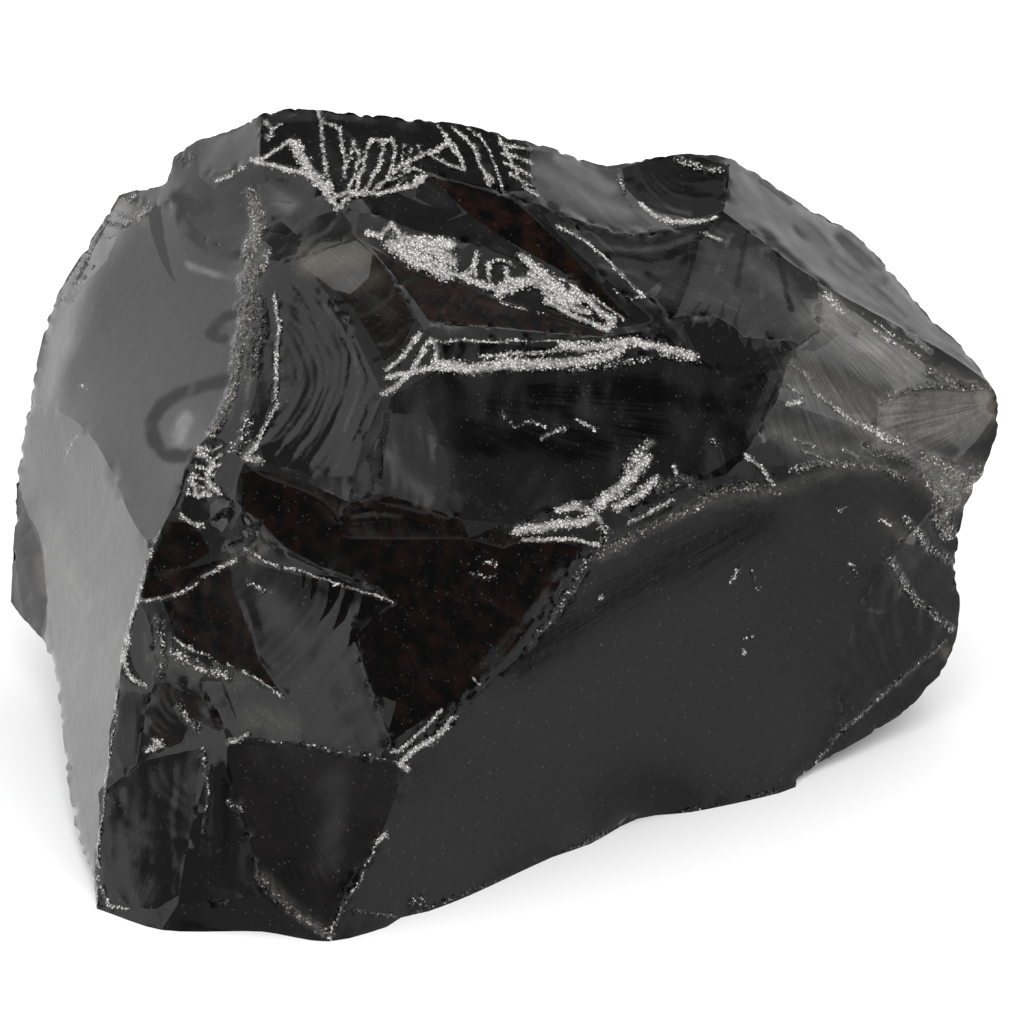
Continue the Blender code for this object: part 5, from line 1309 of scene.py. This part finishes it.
def surface_height(shader, where, fine, medium, streak, broad):
    """The relief that is too fine for the mesh: rings, streaks, and chips where the glass is crushed."""
    ring = shader.math("SINE", shader.times(shader.painted("phase"), 4 * math.pi))
    height = shader.times(shader.times(ring, shader.painted("swell")), RING_HEIGHT)
    height = shader.plus(height, shader.times(medium, LUMP_HEIGHT))
    drawn = shader.plus(shader.times(streak, FINE_STREAK_HEIGHT), shader.times(broad, BROAD_STREAK_HEIGHT))
    height = shader.plus(height, shader.times(drawn, shader.painted("drawn")))
    chips = shader.add("ShaderNodeTexVoronoi", Vector=where, Scale=1 / (CHIP * MM)).outputs["Distance"]
    chips = shader.plus(shader.times(chips, CHIP_HEIGHT), shader.times(fine, CHIP_GRAIN_HEIGHT))
    return shader.plus(height, shader.times(chips, shader.painted("broken")))


def turned_outward(shader):
    """The way that the glass faces, with the small facets' lean and the bends' sway."""
    out = shader.add("ShaderNodeNewGeometry").outputs["Normal"]
    for name in ("lean", "sway"):
        turn = shader.add("ShaderNodeAttribute", attribute_name=name).outputs["Vector"]
        out = shader.add("ShaderNodeVectorMath", operation="ADD", in0=out, in1=turn).outputs[0]
    return shader.add("ShaderNodeVectorMath", operation="NORMALIZE", in0=out).outputs[0]


def obsidian_glass():
    glass = bpy.data.materials.new("obsidian_glass")
    glass.use_nodes = True
    shader = Shader(glass.node_tree)
    finish = glass.node_tree.nodes["Principled BSDF"]
    link = glass.node_tree.links.new
    where = shader.add("ShaderNodeTexCoord").outputs["Object"]
    stain = shader.add("ShaderNodeAttribute", attribute_name="stain").outputs["Vector"]
    brown, beige, _ = shader.add("ShaderNodeSeparateXYZ", Vector=stain).outputs
    beige = shader.plus(beige, shader.painted("tawny"))
    fine, medium = shader.noise(where, FINE_LUMP, 1.5, 0.6), shader.noise(where, LUMP, 2.0, 0.55)
    streak, broad = streaks(shader, FINE_STREAK, 1.5, 0.6), streaks(shader, BROAD_STREAK, 1.0, 0.5)
    white_and_glints = crushed_white_and_glints(shader, where, shader.painted("grit"), fine, medium)
    specks = shader.plus(shader.noise(where, SPECK, 1.0), shader.times(medium, 0.30))
    specks = shader.times(shader.step(specks, 0.985, 1.02), SPECK_COVER)
    # Painted sheen and dust: grey clouds where the glass is made lighter than its reflections make it
    dust_and_sheen_cloud = shader.times(shader.painted("dust_and_sheen"), shader.step(fine, 0.35, 0.75, 0.8, 1.25))
    dust_and_sheen_cloud = shader.times(dust_and_sheen_cloud, shader.step(streak, 0.3, 0.7, 0.55, 1.4))
    colour = shader.mix(shader.times(brown, shader.step(medium, 0.35, 0.7)), BLACK_GLASS, BROWN_GLASS)
    colour = shader.mix(shader.times(beige, shader.step(streak, 0.3, 0.7, 0.7, 1.1)), colour, BEIGE_GLASS)
    colour = shader.mix(dust_and_sheen_cloud, colour, DUST_AND_SHEEN_COLOUR)
    colour = shader.mix(specks, colour, DUST_AND_SHEEN_COLOUR)
    # Painted white: crushed granules, and glints and glitter where ridges and ripples catch the light
    granules_and_glints = shader.mix(shader.step(shader.painted("broken"), 0.35, 0.75), WHITE_GRANULES_AND_GLINTS, GREY_GRANULES)
    link(shader.mix(white_and_glints, colour, granules_and_glints), finish.inputs["Base Color"])
    dull = shader.plus(shader.times(dust_and_sheen_cloud, DUSTED), POLISHED)
    link(shader.blend(white_and_glints, dull, CRUSHED), finish.inputs["Roughness"])
    finish.inputs["IOR"].default_value = GLASS_BENDS_LIGHT
    height = surface_height(shader, where, fine, medium, streak, broad)
    outward = turned_outward(shader)
    bump = shader.add("ShaderNodeBump", Strength=1.0, Distance=1.0, Height=height, Normal=outward)
    link(bump.outputs[0], finish.inputs["Normal"])
    return glass


stone_mesh.materials.append(obsidian_glass())

# ----------------------------------------------------------------------------------------------------------
# The floor: a plain pale sheet of studio paper, rolled out flat under the stone. It is wide enough for its
# edges never to show, and it is matt, so the stone throws only a soft shadow on it.
# ----------------------------------------------------------------------------------------------------------
floor_mesh = bpy.data.meshes.new("floor")
floor_mesh.from_pydata([(-4, -4, 0), (4, -4, 0), (4, 4, 0), (-4, 4, 0)], [], [(0, 1, 2, 3)])
floor = bpy.data.objects.new("floor", floor_mesh)
bpy.context.scene.collection.objects.link(floor)
paper = bpy.data.materials.new("floor_paper")
paper.use_nodes = True
sheet = paper.node_tree.nodes["Principled BSDF"]
sheet.inputs["Base Color"].default_value = (0.92, 0.92, 0.92, 1)
sheet.inputs["Roughness"].default_value = 0.8
sheet.inputs["Specular IOR Level"].default_value = 0
ray = new_node(paper.node_tree, "ShaderNodeLightPath")
clear = new_node(paper.node_tree, "ShaderNodeBsdfTransparent")
mirrored = ray.outputs["Is Glossy Ray"]  # the glass doesn't mirror the floor
either = new_node(paper.node_tree, "ShaderNodeMixShader", in0=mirrored, in1=sheet.outputs[0],
                  in2=clear.outputs[0])
paper.node_tree.links.new(either.outputs[0], paper.node_tree.nodes["Material Output"].inputs[0])
floor_mesh.materials.append(paper)

# ----------------------------------------------------------------------------------------------------------
# The light: a soft pale room around the stone, darker in front and high overhead, so that the glass shows
# its facets. It is the room that the facets' shades are worked out from.
# ----------------------------------------------------------------------------------------------------------
room = bpy.data.worlds.new("room")
room.use_nodes = True
room.node_tree.nodes.clear()
bpy.context.scene.world = room
room.cycles.sampling_method = "NONE"  # the room is smooth, so no direction needs favouring
air = Shader(room.node_tree)
outward = air.add("ShaderNodeTexCoord").outputs["Generated"]


def patched(light, turn, rise, outer, inner, brightness):
    """The light, with this patch of the room over it."""
    aim = tuple(direction(turn, rise))
    near = air.add("ShaderNodeVectorMath", operation="DOT_PRODUCT", in0=outward, in1=aim).outputs["Value"]
    low, high = math.cos(math.radians(outer)), math.cos(math.radians(inner))
    return air.blend(air.step(near, low, high), light, brightness)


MIRRORED = 1.1  # what the glass mirrors, against the room's own brightness
DULL_LIGHT = 1.85  # what falls on the floor and on dull glass
BACKDROP = 1.0  # what is seen behind the stone
light, ceiling = WALLS, CEILING
for patch in WALL_PATCHES:
    light = patched(light, *patch)
for patch in CEILING_PATCHES:
    ceiling = patched(ceiling, *patch)
light = patched(patched(light, *CEILING_SPREAD, ceiling), *BLACK_CARD)
path = air.add("ShaderNodeLightPath")
light = air.blend(path.outputs["Is Diffuse Ray"], air.times(light, MIRRORED), DULL_LIGHT)
light = air.blend(path.outputs["Is Camera Ray"], light, BACKDROP)
glow = air.add("ShaderNodeBackground", Strength=light)
surroundings = air.add("ShaderNodeOutputWorld")
room.node_tree.links.new(glow.outputs[0], surroundings.inputs[0])

# ----------------------------------------------------------------------------------------------------------
# The camera: a long lens in front of the stone, looking down at it as steeply as the plane that the scars
# are placed on leans back.
# ----------------------------------------------------------------------------------------------------------
AWAY = 5.0  # metres
FIELD = 0.128  # metres of the stone's width that the picture spans
AIM_RIGHT, AIM_UP = 0.775, 1.35  # millimetres from the stone's middle to the middle of the picture
aim_right, aim_up = (cad_box[0].x + cad_box[1].x) / 2 + AIM_RIGHT * MM, (plane_middle[1] + AIM_UP) * MM
looking = Vector((0, -math.cos(LEAN), math.sin(LEAN)))
lens = bpy.data.cameras.new("camera")
lens.lens = lens.sensor_width * AWAY / FIELD
lens.clip_end = 100
camera = bpy.data.objects.new("camera", lens)
camera.location = Vector((aim_right, aim_up * math.sin(LEAN), aim_up * math.cos(LEAN))) + looking * AWAY
camera.rotation_euler = looking.to_track_quat("Z", "Y").to_euler()
bpy.context.scene.collection.objects.link(camera)
bpy.context.scene.camera = camera
bpy.context.scene.view_settings.view_transform = "Standard"
